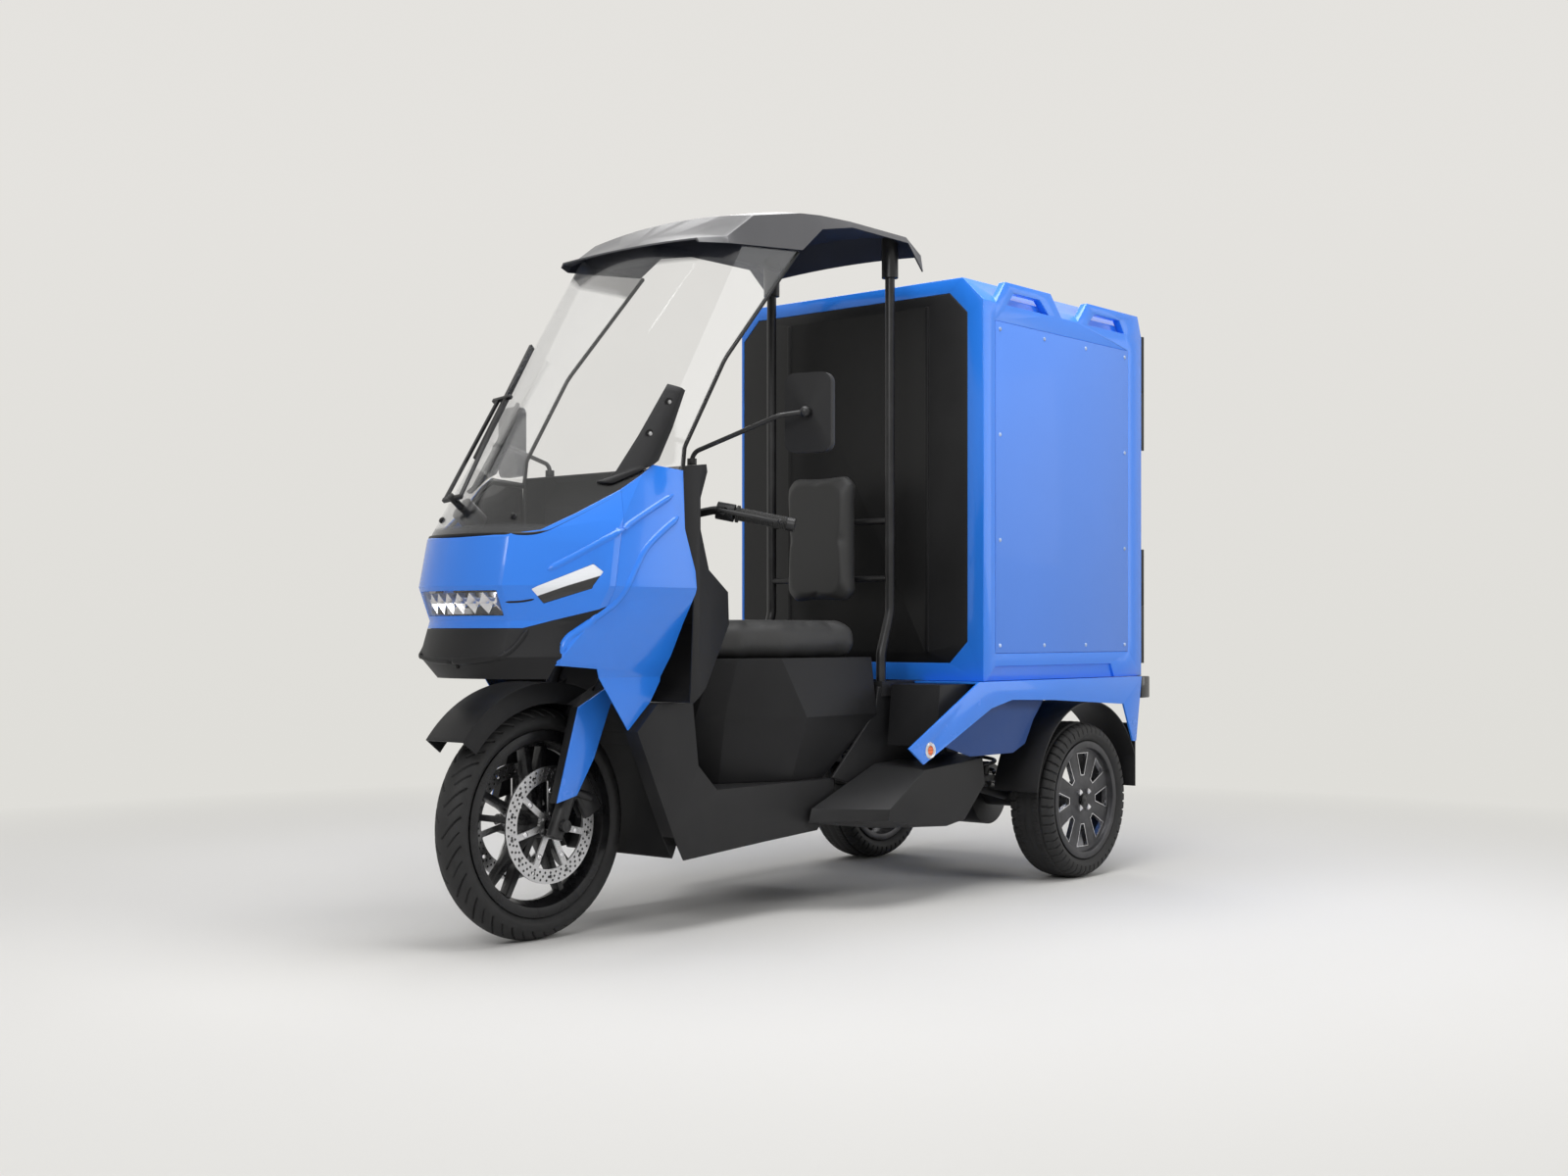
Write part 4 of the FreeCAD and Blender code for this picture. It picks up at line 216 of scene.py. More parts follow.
class Shade(Nodes):
    """The node tree of a material or a world, built from Python expressions."""

    def __init__(self, owner: Material | bpy.types.World) -> None:
        """Start an empty tree with its output node."""
        owner.use_nodes = True
        self.tree = owner.node_tree
        self.tree.nodes.clear()
        ending = "World" if isinstance(owner, bpy.types.World) else "Material"
        self.output = self.node("ShaderNodeOutput" + ending)

    def source(self, value: object) -> object:
        """A value's socket, or what was given."""
        return value.socket if isinstance(value, Value) else value

    def number(self, operation: str, *terms: Number, clamp: bool = False) -> Value:
        """Add a Math node over numbers or sockets."""
        settings = {"operation": operation, "use_clamp": clamp}
        made = self.node("ShaderNodeMath", settings, dict(enumerate(terms)))
        return Value(self, made.outputs[0])

    def place(self, shift: Point = (0, 0, 0)) -> Socket:
        """Object coordinates, moved."""
        source = self.node("ShaderNodeTexCoord").outputs["Object"]
        return self.node("ShaderNodeMapping", None, {"Vector": source, "Location": shift}).outputs[0]

    def parts(self, vector: Socket) -> tuple[Value, Value, Value]:
        """A vector's three numbers."""
        split = self.node("ShaderNodeSeparateXYZ", None, {0: vector})
        return tuple(Value(self, socket) for socket in split.outputs)

    def axes(self, shift: Point = (0, 0, 0)) -> tuple[Value, Value, Value]:
        """The three Object coordinates as numbers."""
        return self.parts(self.place(shift))

    def looks(self, kind: str = "Normal") -> tuple[Value, Value, Value]:
        """The way that a face looks, as three numbers."""
        return self.parts(self.node("ShaderNodeNewGeometry").outputs[kind])

    def seen(self) -> Value:
        """1 where the camera looks, also by way of gloss or glass, and 0 for all other light."""
        rays = self.node("ShaderNodeLightPath").outputs
        camera, gloss, glass = [Value(self, rays["Is " + way + " Ray"])
                                for way in ("Camera", "Glossy", "Transmission")]
        return self.number("MAXIMUM", self.number("MAXIMUM", camera, gloss), glass)

    def noise(self, scale: float, detail: float) -> Value:
        """Noise over Object coordinates, from 0 to 1."""
        inputs = {"Vector": self.place(), "Scale": scale, "Detail": detail, "Roughness": 0.55}
        return Value(self, self.node("ShaderNodeTexNoise", None, inputs).outputs[0])

    def cells(self, scale: float, feature: str = "F1") -> Value:
        """Cell distances over Object coordinates."""
        inputs = {"Vector": self.place(), "Scale": scale}
        made = self.node("ShaderNodeTexVoronoi", {"feature": feature}, inputs)
        return Value(self, made.outputs["Distance"])

    def blend(self, share: Number, low: Tint, high: Tint) -> Socket:
        """Mix two colours by a mask."""
        first, second = [(*value, 1.0) if isinstance(value, tuple) else value for value in (low, high)]
        return self.node("ShaderNodeMix", {"data_type": "RGBA"}, {0: share, 6: first, 7: second}).outputs[2]

    def bump(self, height: Value, depth: float) -> Socket:
        """A normal from a height map, with its depth in metres."""
        inputs = {"Height": height, "Distance": depth, "Strength": 1.0}
        return self.node("ShaderNodeBump", None, inputs).outputs[0]

    def surface(self, **inputs: object) -> Node:
        """Add the main shader; socket names are given with underscores."""
        sockets = {}
        for name, value in inputs.items():
            words = [word.upper() if word == "ior" else word.capitalize() for word in name.split("_")]
            plain = isinstance(value, tuple) and len(value) == 3
            sockets[" ".join(words)] = (*value, 1.0) if plain else value
        return self.node("ShaderNodeBsdfPrincipled", None, sockets)

    def layered(self, share: Number, under: Node, over: Node) -> Node:
        """Mix one shader over another by a mask."""
        return self.node("ShaderNodeMixShader", None, {0: share, 1: under.outputs[0], 2: over.outputs[0]})

    def close(self, shader: Node) -> None:
        """Link the last shader to the output."""
        self.tree.links.new(shader.outputs[0], self.output.inputs[0])


@dataclass(frozen=True)
class Finish:
    """A surface finish; each kind says how its nodes are drawn."""

    name: str
    slot: str
    colour: Colour

    def draw(self, shade: Shade) -> Node:
        """Draw the finish's nodes and return its last shader."""
        raise NotImplementedError

    def cover(self, piece: Piece) -> None:
        """Make this a piece's only finish."""
        piece.data.materials.clear()
        piece.data.materials.append(self.material())

    def material(self) -> Material:
        """The finish's material, made on first use."""
        found = bpy.data.materials.get(self.name)
        if found is not None:
            return found
        made = bpy.data.materials.new(self.name)
        shade = Shade(made)
        shade.close(self.draw(shade))
        return made


@dataclass(frozen=True)
class GlossPaint(Finish):
    """Clear-coated colour with orange peel, and road dust low down."""

    dust: Colour = (0.34, 0.33, 0.31)
    dust_level: float = 0.45
    coat: float = 0.45
    roughness: float = 0.2
    # painted shade: when set, faces that look inwards take the near-black colour below
    lined: bool = False
    inner_shade: Colour = (0.01, 0.01, 0.011)

    def draw(self, shade: Shade) -> Node:
        """Colour drift, dust by height, fine peel, and painted shade: near-black on faces that look
        inwards.
        """
        drift = shade.noise(2.2, 2.0)
        tint = shade.blend(drift, toned(self.colour, 0.9), self.colour)
        height = shade.axes()[2]
        dust = (1 - height.above(self.dust_level, 0.5)) * shade.noise(9.0, 5.0) * 0.16
        base = shade.blend(dust, tint, self.dust)
        if self.lined:
            # painted shade: faces that look towards the middle are darkened to near-black
            inward = (shade.looks()[0] * shade.axes()[0] * -1.0).above(0.06, 0.02)
            base = shade.blend(inward, base, self.inner_shade)
        peel = shade.noise(420.0, 2.0)
        rough = shade.noise(30.0, 4.0) * 0.07 + dust * 0.8 + self.roughness
        return shade.surface(base_color=base, roughness=rough, coat_weight=self.coat, coat_roughness=0.06,
                             specular_ior_level=0.35, normal=shade.bump(peel, 0.00006))


@dataclass(frozen=True)
class MouldedPlastic(Finish):
    """Injection-moulded plastic with a spark-eroded grain and scuffs."""

    grain: float = 1500.0
    depth: float = 0.00012
    roughness: float = 0.46
    dust: Colour = (0.22, 0.21, 0.195)
    dust_level: float = 0.3

    def draw(self, shade: Shade) -> Node:
        """Grain bump, scuffed patches and dust low down."""
        grain = shade.cells(self.grain) * 0.6 + shade.noise(self.grain * 0.5, 2.0) * 0.4
        patches = shade.noise(6.0, 6.0)
        tint = shade.blend(patches, toned(self.colour, 0.82), toned(self.colour, 1.35, 0.003))
        height = shade.axes()[2]
        dust = (1 - height.above(self.dust_level, 0.5)) * shade.noise(14.0, 5.0) * 0.07
        base = shade.blend(dust, tint, self.dust)
        rough = patches * 0.16 + grain * 0.08 + dust * 0.6 + (self.roughness - 0.12)
        return shade.surface(base_color=base, roughness=rough, specular_ior_level=0.24,
                             normal=shade.bump(grain, self.depth))


@dataclass(frozen=True)
class CanopyShell(Finish):
    """Satin canopy moulding with painted shade: faces that look down are coloured a deep blue-black."""

    # painted shade: the colour of faces that look down
    under: Colour = (0.006, 0.009, 0.022)
    turn_over: float = -0.12

    def draw(self, shade: Shade) -> Node:
        """Painted shade: a lighter colour on faces that look up and a dark one on faces that look down."""
        up = shade.looks("True Normal")[2]
        grain = shade.noise(900.0, 2.0)
        patches = shade.noise(4.0, 5.0)
        top = shade.blend(patches, self.colour, toned(self.colour, 1.25))
        # painted shade: faces that look down take the dark under colour
        base = shade.blend(up.above(self.turn_over, 0.1), self.under, top)
        rough = patches * 0.12 + grain * 0.06 + 0.32 + (1 - up.above(self.turn_over, 0.1)) * 0.4
        shine = up.above(0.2, 0.3) * 0.15
        return shade.surface(base_color=base, roughness=rough, coat_weight=shine, coat_roughness=0.3,
                             normal=shade.bump(grain, 0.00006))


@dataclass(frozen=True)
class CoatedMetal(Finish):
    """Powder-coated or bare metal with a fine orange peel and rubbed highs."""

    metallic: float = 0.2
    roughness: float = 0.36

    def draw(self, shade: Shade) -> Node:
        """Fine speckle, rubbed patches."""
        speckle = shade.noise(700.0, 3.0)
        rubbed = shade.noise(18.0, 6.0)
        base = shade.blend(rubbed.above(0.56, 0.3), self.colour, toned(self.colour, 1.5, 0.006))
        rough = rubbed * 0.2 + speckle * 0.06 + (self.roughness - 0.13)
        return shade.surface(base_color=base, metallic=self.metallic, roughness=rough,
                             normal=shade.bump(speckle, 0.00008))


@dataclass(frozen=True)
class DrilledSteel(Finish):
    """Ground brake steel: rings of grinding marks and rows of drilled holes about the front axle."""

    axle_y: float = -0.979
    axle_z: float = 0.288
    rows: tuple[float, ...] = (0.1175, 0.127, 0.1365)
    holes: int = 42
    hole_radius: float = 0.0031
    hole_soft: float = 0.0008
    hollow: Colour = (0.012, 0.012, 0.013)
    grinding: float = 9000.0

    def draw(self, shade: Shade) -> Node:
        """Polar rings and a polar grid of holes."""
        _, along, up = shade.axes((0.0, -self.axle_y, -self.axle_z))
        reach = (along * along + up * up).root()
        turn = shade.number("ARCTAN2", up, along) / math.tau
        drilled = None
        for index, row in enumerate(self.rows):
            pitch = math.tau * row / self.holes
            spot = ((turn * self.holes + index / len(self.rows)).part() - 0.5) * pitch
            off = reach - row
            hole = 1 - ((spot * spot + off * off).root()).above(self.hole_radius, self.hole_soft)
            drilled = hole if drilled is None else shade.number("MAXIMUM", drilled, hole)
        rings = (reach * self.grinding).wave() * 0.5 + 0.5
        wear = shade.noise(60.0, 4.0)
        steel = shade.blend(wear, self.colour, toned(self.colour, 1.25))
        base = shade.blend(drilled, steel, self.hollow)
        rough = rings * 0.1 + wear * 0.1 + drilled * 0.4 + 0.2
        normal = shade.bump(rings * 0.04 - drilled, 0.0006)
        return shade.surface(base_color=base, metallic=1 - drilled, roughness=rough, normal=normal)


@dataclass(frozen=True)
class TyreRubber(Finish):
    """Tyre rubber, dusty in the grooves and finely ringed on its walls."""

    axle_y: float = 0.0
    axle_z: float = 0.0
    rings: float = 2600.0

    def draw(self, shade: Shade) -> Node:
        """Polar rings on the walls, dust and scuffs."""
        _, along, up = shade.axes((0.0, -self.axle_y, -self.axle_z))
        reach = (along * along + up * up).root()
        rings = (reach * self.rings).wave() * 0.5 + 0.5
        scuff = shade.noise(40.0, 6.0)
        base = shade.blend(scuff.above(0.55, 0.35) * 0.7, self.colour, toned(self.colour, 2.1, 0.004))
        rough = scuff * 0.2 + 0.56
        height = rings * 0.3 + shade.noise(900.0, 2.0) * 0.7
        return shade.surface(base_color=base, roughness=rough, normal=shade.bump(height, 0.0002))


@dataclass(frozen=True)
class Glazing(Finish):
    """Clear sheet: see-through face on, glossy at a glance, with tinted bands by height."""

    bands: tuple[tuple[float, float, float], ...] = ()
    roughness: float = 0.03
    mirror: float = 0.05
    glare: float = 0.7
    dark: float = 0.02
    smoke: Colour = (0.02, 0.021, 0.024)
    band_soft: float = 0.012

    def draw(self, shade: Shade) -> Node:
        """A gloss coat mixed over a clear sheet."""
        height = shade.axes()[2]
        smear = shade.noise(7.0, 5.0)
        tint: Number = smear * 0.02 + self.dark
        for low, high, amount in self.bands:
            band = height.above(low, self.band_soft) * (1 - height.above(high, self.band_soft))
            tint = tint + band * amount
        glance = Value(shade, shade.node("ShaderNodeLayerWeight", None, {"Blend": 0.5}).outputs["Facing"])
        square = glance * glance
        share = square * square * glance * (self.glare - self.mirror) + smear * 0.015 + self.mirror
        rough = smear * 0.05 + self.roughness
        sheen = shade.blend(smear, self.colour, toned(self.colour, 0.9))
        gloss = shade.surface(base_color=sheen, metallic=1.0, roughness=rough)
        clear = shade.node("ShaderNodeBsdfTransparent")
        murk = shade.blend(smear, self.smoke, toned(self.smoke, 0.8))
        smoke = shade.surface(base_color=murk, roughness=0.4)
        return shade.layered(share, shade.layered(tint, clear, smoke), gloss)


@dataclass(frozen=True)
class Chromed(Finish):
    """Bright metallised or mirror surface with a trace of haze."""

    haze: float = 0.05

    def draw(self, shade: Shade) -> Node:
        """Haze and faint tarnish."""
        haze = shade.noise(24.0, 5.0)
        base = shade.blend(haze, self.colour, toned(self.colour, 0.82))
        return shade.surface(base_color=base, metallic=1.0, roughness=haze * self.haze + 0.03)


@dataclass(frozen=True)
class Vinyl(Finish):
    """Seat vinyl with a leather-like grain and rubbed crown."""

    def draw(self, shade: Shade) -> Node:
        """Cell grain at two scales."""
        coarse = shade.cells(420.0, "DISTANCE_TO_EDGE")
        fine = shade.noise(1600.0, 3.0)
        rubbed = shade.noise(11.0, 5.0)
        base = shade.blend(rubbed, self.colour, toned(self.colour, 1.6, 0.004))
        grain = shade.number("MINIMUM", coarse * 9.0, 1.0) * 0.7 + fine * 0.3
        rough = rubbed * 0.16 + (1 - grain) * 0.12 + 0.36
        return shade.surface(base_color=base, roughness=rough, normal=shade.bump(grain, 0.0003))


@dataclass(frozen=True)
class MouldedLens(Finish):
    """Coloured lamp plastic with moulded prisms behind a smooth face."""

    prism: float = 700.0
    housed: bool = False
    housing: Colour = (0.01, 0.01, 0.011)

    def draw(self, shade: Shade) -> Node:
        """Crossed prisms, with a dark housing on all but the rear faces where the lens is housed."""
        across, _, up = shade.axes()
        prisms = (across * self.prism).wave() * (up * self.prism).wave() * 0.5 + 0.5
        base = shade.blend(prisms, self.colour, toned(self.colour, 1.8, 0.02))
        if self.housed:
            base = shade.blend(shade.looks()[1].above(0.6, 0.1), self.housing, base)
        return shade.surface(base_color=base, roughness=prisms * 0.08 + 0.1, coat_weight=0.5)


@dataclass(frozen=True)
class RibbedRubber(Finish):
    """Grip rubber with moulded ribs along one line."""

    line: Point = (1.0, 0.0, 0.0)
    pitch: float = 0.0045

    def draw(self, shade: Shade) -> Node:
        """Ribs by distance along the line."""
        parts = shade.axes()
        along = parts[0] * self.line[0] + parts[1] * self.line[1] + parts[2] * self.line[2]
        ribs = (along * (math.tau / self.pitch)).wave() * 0.5 + 0.5
        wear = shade.noise(60.0, 4.0)
        base = shade.blend(ribs * 0.6 + wear * 0.4, self.colour, toned(self.colour, 2.2, 0.006))
        normal = shade.bump(ribs, 0.0012)
        return shade.surface(base_color=base, roughness=wear * 0.2 + 0.52, normal=normal)


@dataclass(frozen=True)
class DisplayGlass(Finish):
    """Dark display glass with a plain dial arc and bars."""

    centre: Point = (0.0, -0.5936, 1.1305)
    tilt: float = math.radians(35.0)
    marks: Colour = (0.35, 0.55, 0.6)
    ring: tuple[float, float] = (0.0165, 0.0195)
    bars: tuple[float, float] = (0.034, 0.046)
    bar_half: float = 0.012
    bar_waves: float = 1400.0
    soft: float = 0.0006

    def draw(self, shade: Shade) -> Node:
        """A ring of ticks in the middle and two bars."""
        across, along, _ = shade.axes((0.0, -self.centre[1], -self.centre[2]))
        along = along * (1.0 / math.cos(self.tilt))
        reach = (across * across + along * along).root()
        ring, bars = [place.above(inner, self.soft) * (1 - place.above(outer, self.soft))
                      for place, (inner, outer) in ((reach, self.ring), (across.size(), self.bars))]
        bars = bars * (1 - along.size().above(self.bar_half, self.soft))
        bars = bars * (along * self.bar_waves).wave().above(0.0, 0.1)
        marks = shade.number("MAXIMUM", ring, bars)
        smear = shade.noise(40.0, 4.0)
        base = shade.blend(marks, self.colour, self.marks)
        return shade.surface(base_color=base, roughness=smear * 0.06 + 0.08, coat_weight=0.4)


@dataclass(frozen=True)
class LampFace(Finish):
    """Corner lamp: a white light guide above, smoked plastic below a slanting line."""

    smoked: Colour = (0.012, 0.012, 0.013)
    corner: Point = (0.19, 0.0, 0.828)
    slope: float = 0.55
    share: float = 0.014
    rib_waves: float = 1800.0

    def draw(self, shade: Shade) -> Node:
        """White over black, split along the lamp's own slope."""
        across, _, up = shade.axes()
        line = (across.size() - self.corner[0]) * self.slope + self.corner[2] + self.share
        guide = (up - line).above(0.0, 0.0012)
        ribs = (up * self.rib_waves).wave() * 0.5 + 0.5
        white = shade.blend(ribs, self.colour, toned(self.colour, 0.94))
        base = shade.blend(guide, self.smoked, white)
        return shade.surface(base_color=base, roughness=ribs * 0.04 + 0.12, coat_weight=0.5)


AZURE = GlossPaint("azure_paint", "blue_paint", (0.026, 0.225, 0.88))
# the wings' inward faces carry painted shade
WING_BLUE = GlossPaint("wing_paint", "blue_paint", (0.026, 0.225, 0.88), lined=True)
# the panels' own blue, made paler by a painted sheen
PANEL_BLUE_AND_SHEEN = GlossPaint("panel_paint", "blue_paint", (0.10, 0.265, 0.82), coat=0.12, roughness=0.42)
# painted shade: the blue paint darkened for the deep-set arch panels
SHADED_BLUE = GlossPaint("shaded_paint", "blue_paint", (0.008, 0.055, 0.23), coat=0.1, roughness=0.5)
CHARCOAL = MouldedPlastic("charcoal_moulding", "charcoal_plastic", (0.0105, 0.0105, 0.0115))
BLACK_PANEL = MouldedPlastic("black_panel_moulding", "charcoal_plastic", (0.008, 0.008, 0.0085),
                             roughness=0.4)
CANOPY = CanopyShell("canopy_moulding", "roof_plastic", (0.062, 0.062, 0.067))
BLACK_METAL = CoatedMetal("black_coated_metal", "black_alloy", (0.012, 0.012, 0.013))
FRAME_METAL = CoatedMetal("frame_coating", "black_alloy", (0.018, 0.018, 0.019), roughness=0.5)
RIM_BLACK = CoatedMetal("rim_black", "black_alloy", (0.01, 0.01, 0.011), metallic=0.35, roughness=0.28)
GUNMETAL = CoatedMetal("gunmetal_casting", "gunmetal_alloy", (0.06, 0.06, 0.064), metallic=0.85,
                       roughness=0.42)
MACHINED = CoatedMetal("machined_alloy", "gunmetal_alloy", (0.62, 0.62, 0.64), metallic=1.0, roughness=0.26)
RIVET = CoatedMetal("rivet_alloy", "bright_steel", (0.34, 0.42, 0.58), metallic=0.6, roughness=0.38)
ZINC = CoatedMetal("zinc_fastener", "bright_steel", (0.42, 0.42, 0.43), metallic=1.0, roughness=0.34)
DISC_STEEL = DrilledSteel("drilled_brake_steel", "bright_steel", (0.48, 0.48, 0.49))
FRONT_RUBBER = TyreRubber("front_tyre_rubber", "tyre_rubber", (0.0085, 0.0085, 0.009), -0.979, 0.288)
REAR_RUBBER = TyreRubber("rear_tyre_rubber", "tyre_rubber", (0.0085, 0.0085, 0.009), 0.897, 0.242)
SCREEN = Glazing("screen_sheet", "tinted_screen", (0.95, 0.96, 0.98), mirror=0.035,
                 bands=((0.98, 1.012, 0.8), (1.71, 1.8, 0.35)))
LENS = Glazing("lamp_lens", "clear_lens", (0.9, 0.92, 0.95), mirror=0.045)
CHROME = Chromed("reflector_chrome", "reflector_chrome", (0.86, 0.86, 0.88))
MIRROR = Chromed("mirror_silver", "mirror_glass", (0.82, 0.83, 0.85), haze=0.02)
SEAT_VINYL = Vinyl("seat_vinyl", "seat_vinyl", (0.012, 0.012, 0.0125))
RED_LENS = MouldedLens("red_lens", "red_lens", (0.36, 0.01, 0.008))
TAIL_LENS = MouldedLens("tail_lens", "red_lens", (0.36, 0.01, 0.008), housed=True)
AMBER_LENS = MouldedLens("reflector_lens", "red_lens", (0.62, 0.1, 0.012))
DISPLAY = DisplayGlass("display_glass", "clear_lens", (0.006, 0.007, 0.009))
LAMP_FACE = LampFace("corner_lamp", "clear_lens", (0.85, 0.87, 0.9))
GRIP_LEFT = RibbedRubber("grip_rubber_left", "grip_rubber", (0.01, 0.01, 0.01), (0.818, 0.54, -0.196))
GRIP_RIGHT = RibbedRubber("grip_rubber_right", "grip_rubber", (0.01, 0.01, 0.01), (-0.818, 0.54, -0.196))


def body_of(node: str) -> str:
    """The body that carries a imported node."""
    for body, members in frame["record"]["behaviour"]["bodies"].items():
        if node in members:
            return body
    raise KeyError(node)


def grid_faces(rows: int, wide: int, closed: bool = False, turned: bool = False) -> list[tuple[int, ...]]:
    """Four-sided faces over rows of points.

    Args:
        rows: How many rows there are.
        wide: How many points a row has.
        closed: Whether each row closes on itself.
        turned: Whether the last row joins the first.

    Returns:
        The faces, row by row.
    """
    faces = []
    for row in range(rows if turned else rows - 1):
        here = row * wide
        there = (row + 1) % rows * wide
        for column in range(wide if closed else wide - 1):
            after = (column + 1) % wide
            faces.append((here + column, here + after, there + after, there + column))
    return faces


class Workshop:
    """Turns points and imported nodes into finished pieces."""

    double = 1e-6
    packed_double = 2e-5
    flat = math.radians(0.4)
    lost_area = 0.0005
    sharp = math.radians(20.0)
    rounded_crease = 30.0
    bead_sides = 3
    bead_order = 3
    bead_steps = 6
    bead_crease = 60.0
    lip_rounds = 3
    lip_reach = 0.06
    lip_limit = 0.1
    lip_sunk = 0.0012
    lip_shoulder = (0.6, 0.62)
    lip_run_out = 5
    lip_least = 0.12
    lip_crease = 50.0

    @staticmethod
    def settle(piece: Piece, finish: Finish, body: str, stands_for: Sequence[str] = ()) -> Piece:
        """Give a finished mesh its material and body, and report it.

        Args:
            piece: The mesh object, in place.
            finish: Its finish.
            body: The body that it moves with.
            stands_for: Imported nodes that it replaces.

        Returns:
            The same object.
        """
        finish.cover(piece)
        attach(piece, body)
        if stands_for:
            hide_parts(*stands_for)
        log.info("%s: %d faces on %s", piece.name, len(piece.data.polygons), body)
        return piece

    @staticmethod
    def link(name: str, data: bpy.types.ID) -> Piece:
        """Put a mesh, a curve, a lamp or a camera into the scene."""
        piece = bpy.data.objects.new(name, data)
        bpy.context.scene.collection.objects.link(piece)
        return piece

    @classmethod
    def from_points(cls, name: str, points: Sequence[Point], faces: Sequence[Sequence[int]],
                    smooth: float = 35.0) -> Piece:
        """A mesh from points and faces, shaded smooth up to an angle in degrees."""
        mesh = bpy.data.meshes.new(name)
        mesh.from_pydata([tuple(point) for point in points], [], [tuple(face) for face in faces])
        cls.face_out(mesh)
        cls.smooth(mesh, smooth)
        return cls.link(name, mesh)

    @classmethod
    def plate(cls, name: str, outline: Sequence[tuple[float, float]], side: Side, near: float,
              far: float) -> Piece:
        """A flat plate on one side, from its outline along Y and Z and its two faces' places along X."""
        points = [(side.value * x, y, z) for x in (near, far) for y, z in outline]
        count = len(outline)
        ends = [tuple(range(count)), tuple(range(2 * count - 1, count - 1, -1))]
        return cls.from_points(name, points, ends + grid_faces(2, count, closed=True))

    @classmethod
    def face_out(cls, mesh: bpy.types.Mesh) -> None:
        """Merge doubles and turn every face outwards."""
        work = bmesh.new()
        work.from_mesh(mesh)
        bmesh.ops.remove_doubles(work, verts=work.verts, dist=cls.double)
        bmesh.ops.recalc_face_normals(work, faces=work.faces)
        work.to_mesh(mesh)
        work.free()

    @staticmethod
    def smooth(mesh: bpy.types.Mesh, angle: float) -> None:
        """Shade a mesh smooth, with creases past an angle in degrees."""
        mesh.polygons.foreach_set("use_smooth", [True] * len(mesh.polygons))
        mesh.set_sharp_from_angle(angle=math.radians(angle))

    @staticmethod
    def shape(piece: Piece) -> bpy.types.Mesh:
        """An object's plain mesh with its modifiers or its bevel applied."""
        graph = bpy.context.evaluated_depsgraph_get()
        return bpy.data.meshes.new_from_object(piece.evaluated_get(graph), depsgraph=graph)

    @classmethod
    def baked(cls, piece: Piece) -> Piece:
        """Turn an object's modifiers into a plain mesh."""
        mesh = cls.shape(piece)
        piece.modifiers.clear()
        piece.data = mesh
        return piece

    @classmethod
    def thickened(cls, piece: Piece, thickness: float, offset: float = 0.0) -> Piece:
        """Give a sheet a thickness, in its middle at offset 0 and on one side at 1 or -1."""
        solid = piece.modifiers.new("thickness", "SOLIDIFY")
        solid.thickness = thickness
        solid.offset = offset
        return cls.baked(piece)

    @classmethod
    def softened(cls, node: str, finish: Finish, width: float, steps: int = 2) -> Piece:
        """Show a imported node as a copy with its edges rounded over.

        Args:
            node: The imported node's name.
            finish: The copy's finish.
            width: How wide the rounding is.
            steps: How many faces go round an edge.

        Returns:
            The copy, which stands for the node.
        """
        mesh = frame["nodes"][node].data.copy()
        work = bmesh.new()
        work.from_mesh(mesh)
        bmesh.ops.remove_doubles(work, verts=work.verts, dist=cls.packed_double)
        work.to_mesh(mesh)
        whole = sum(face.calc_area() for face in work.faces)
        bmesh.ops.dissolve_limit(work, angle_limit=cls.flat, verts=work.verts, edges=work.edges)
        ringed = set()
        for edge in work.edges:
            if len(edge.link_loops) == 2 and edge.calc_face_angle(0.0) < cls.flat:
                ringed.update(edge.link_faces)
        bmesh.ops.triangulate(work, faces=list(ringed), ngon_method="BEAUTY")
        kept = sum(face.calc_area() for face in work.faces)
        if abs(kept - whole) < cls.lost_area * whole:
            work.to_mesh(mesh)
        else:
            log.info("%s keeps its packed faces, area %.4f against %.4f", node, kept, whole)
        work.free()
        piece = cls.link(node + "_shown", mesh)
        cls.rounded(piece, width, steps)
        return cls.settle(piece, finish, body_of(node), [node])

    @classmethod
    def soften(cls, *rows: tuple) -> None:
        """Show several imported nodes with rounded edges: node, finish, width and steps in each row."""
        for row in rows:
            cls.softened(*row)

    @classmethod
    def rounded(cls, piece: Piece, width: float, steps: int) -> None:
        """Round a piece's sharp edges over by a width, in so many steps."""
        bevel = piece.modifiers.new("rounding", "BEVEL")
        bevel.width = width
        bevel.segments = steps
        bevel.limit_method = "ANGLE"
        bevel.angle_limit = cls.sharp
        bevel.use_clamp_overlap = True
        bevel.miter_outer = "MITER_ARC"
        cls.baked(piece)
        cls.smooth(piece.data, cls.rounded_crease)

    @classmethod
    def copied(cls, node: str, finish: Finish) -> Piece:
        """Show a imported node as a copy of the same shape."""
        piece = cls.link(node + "_shown", frame["nodes"][node].data.copy())
        return cls.settle(piece, finish, body_of(node), [node])

    @staticmethod
    def dressed(node: str, finish: Finish) -> None:
        """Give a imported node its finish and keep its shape."""
        finish.cover(frame["nodes"][node])
        log.info("%s: packed shape, %s", node, finish.name)

    @classmethod
    def bead(cls, name: str, line: Sequence[Point], radius: float, finish: Finish) -> Piece:
        """A round bead drawn smoothly along a line of points.

        Args:
            name: The new piece's name.
            line: The points that the bead runs by.
            radius: The bead's radius.
            finish: Its finish.

        Returns:
            The finished piece, on the chassis.
        """
        curve = bpy.data.curves.new(name, "CURVE")
        curve.dimensions = "3D"
        curve.bevel_depth = radius
        curve.bevel_resolution = cls.bead_sides
        curve.use_fill_caps = True
        spline = curve.splines.new("NURBS")
        spline.points.add(len(line) - 1)
        for place, point in zip(spline.points, line):
            place.co = (*point, 1.0)
        spline.order_u = cls.bead_order
        spline.resolution_u = cls.bead_steps
        spline.use_endpoint_u = True
        carrier = cls.link(name + "_line", curve)
        mesh = cls.shape(carrier)
        bpy.data.objects.remove(carrier)
        cls.face_out(mesh)
        cls.smooth(mesh, cls.bead_crease)
        return cls.settle(cls.link(name, mesh), finish, "chassis")

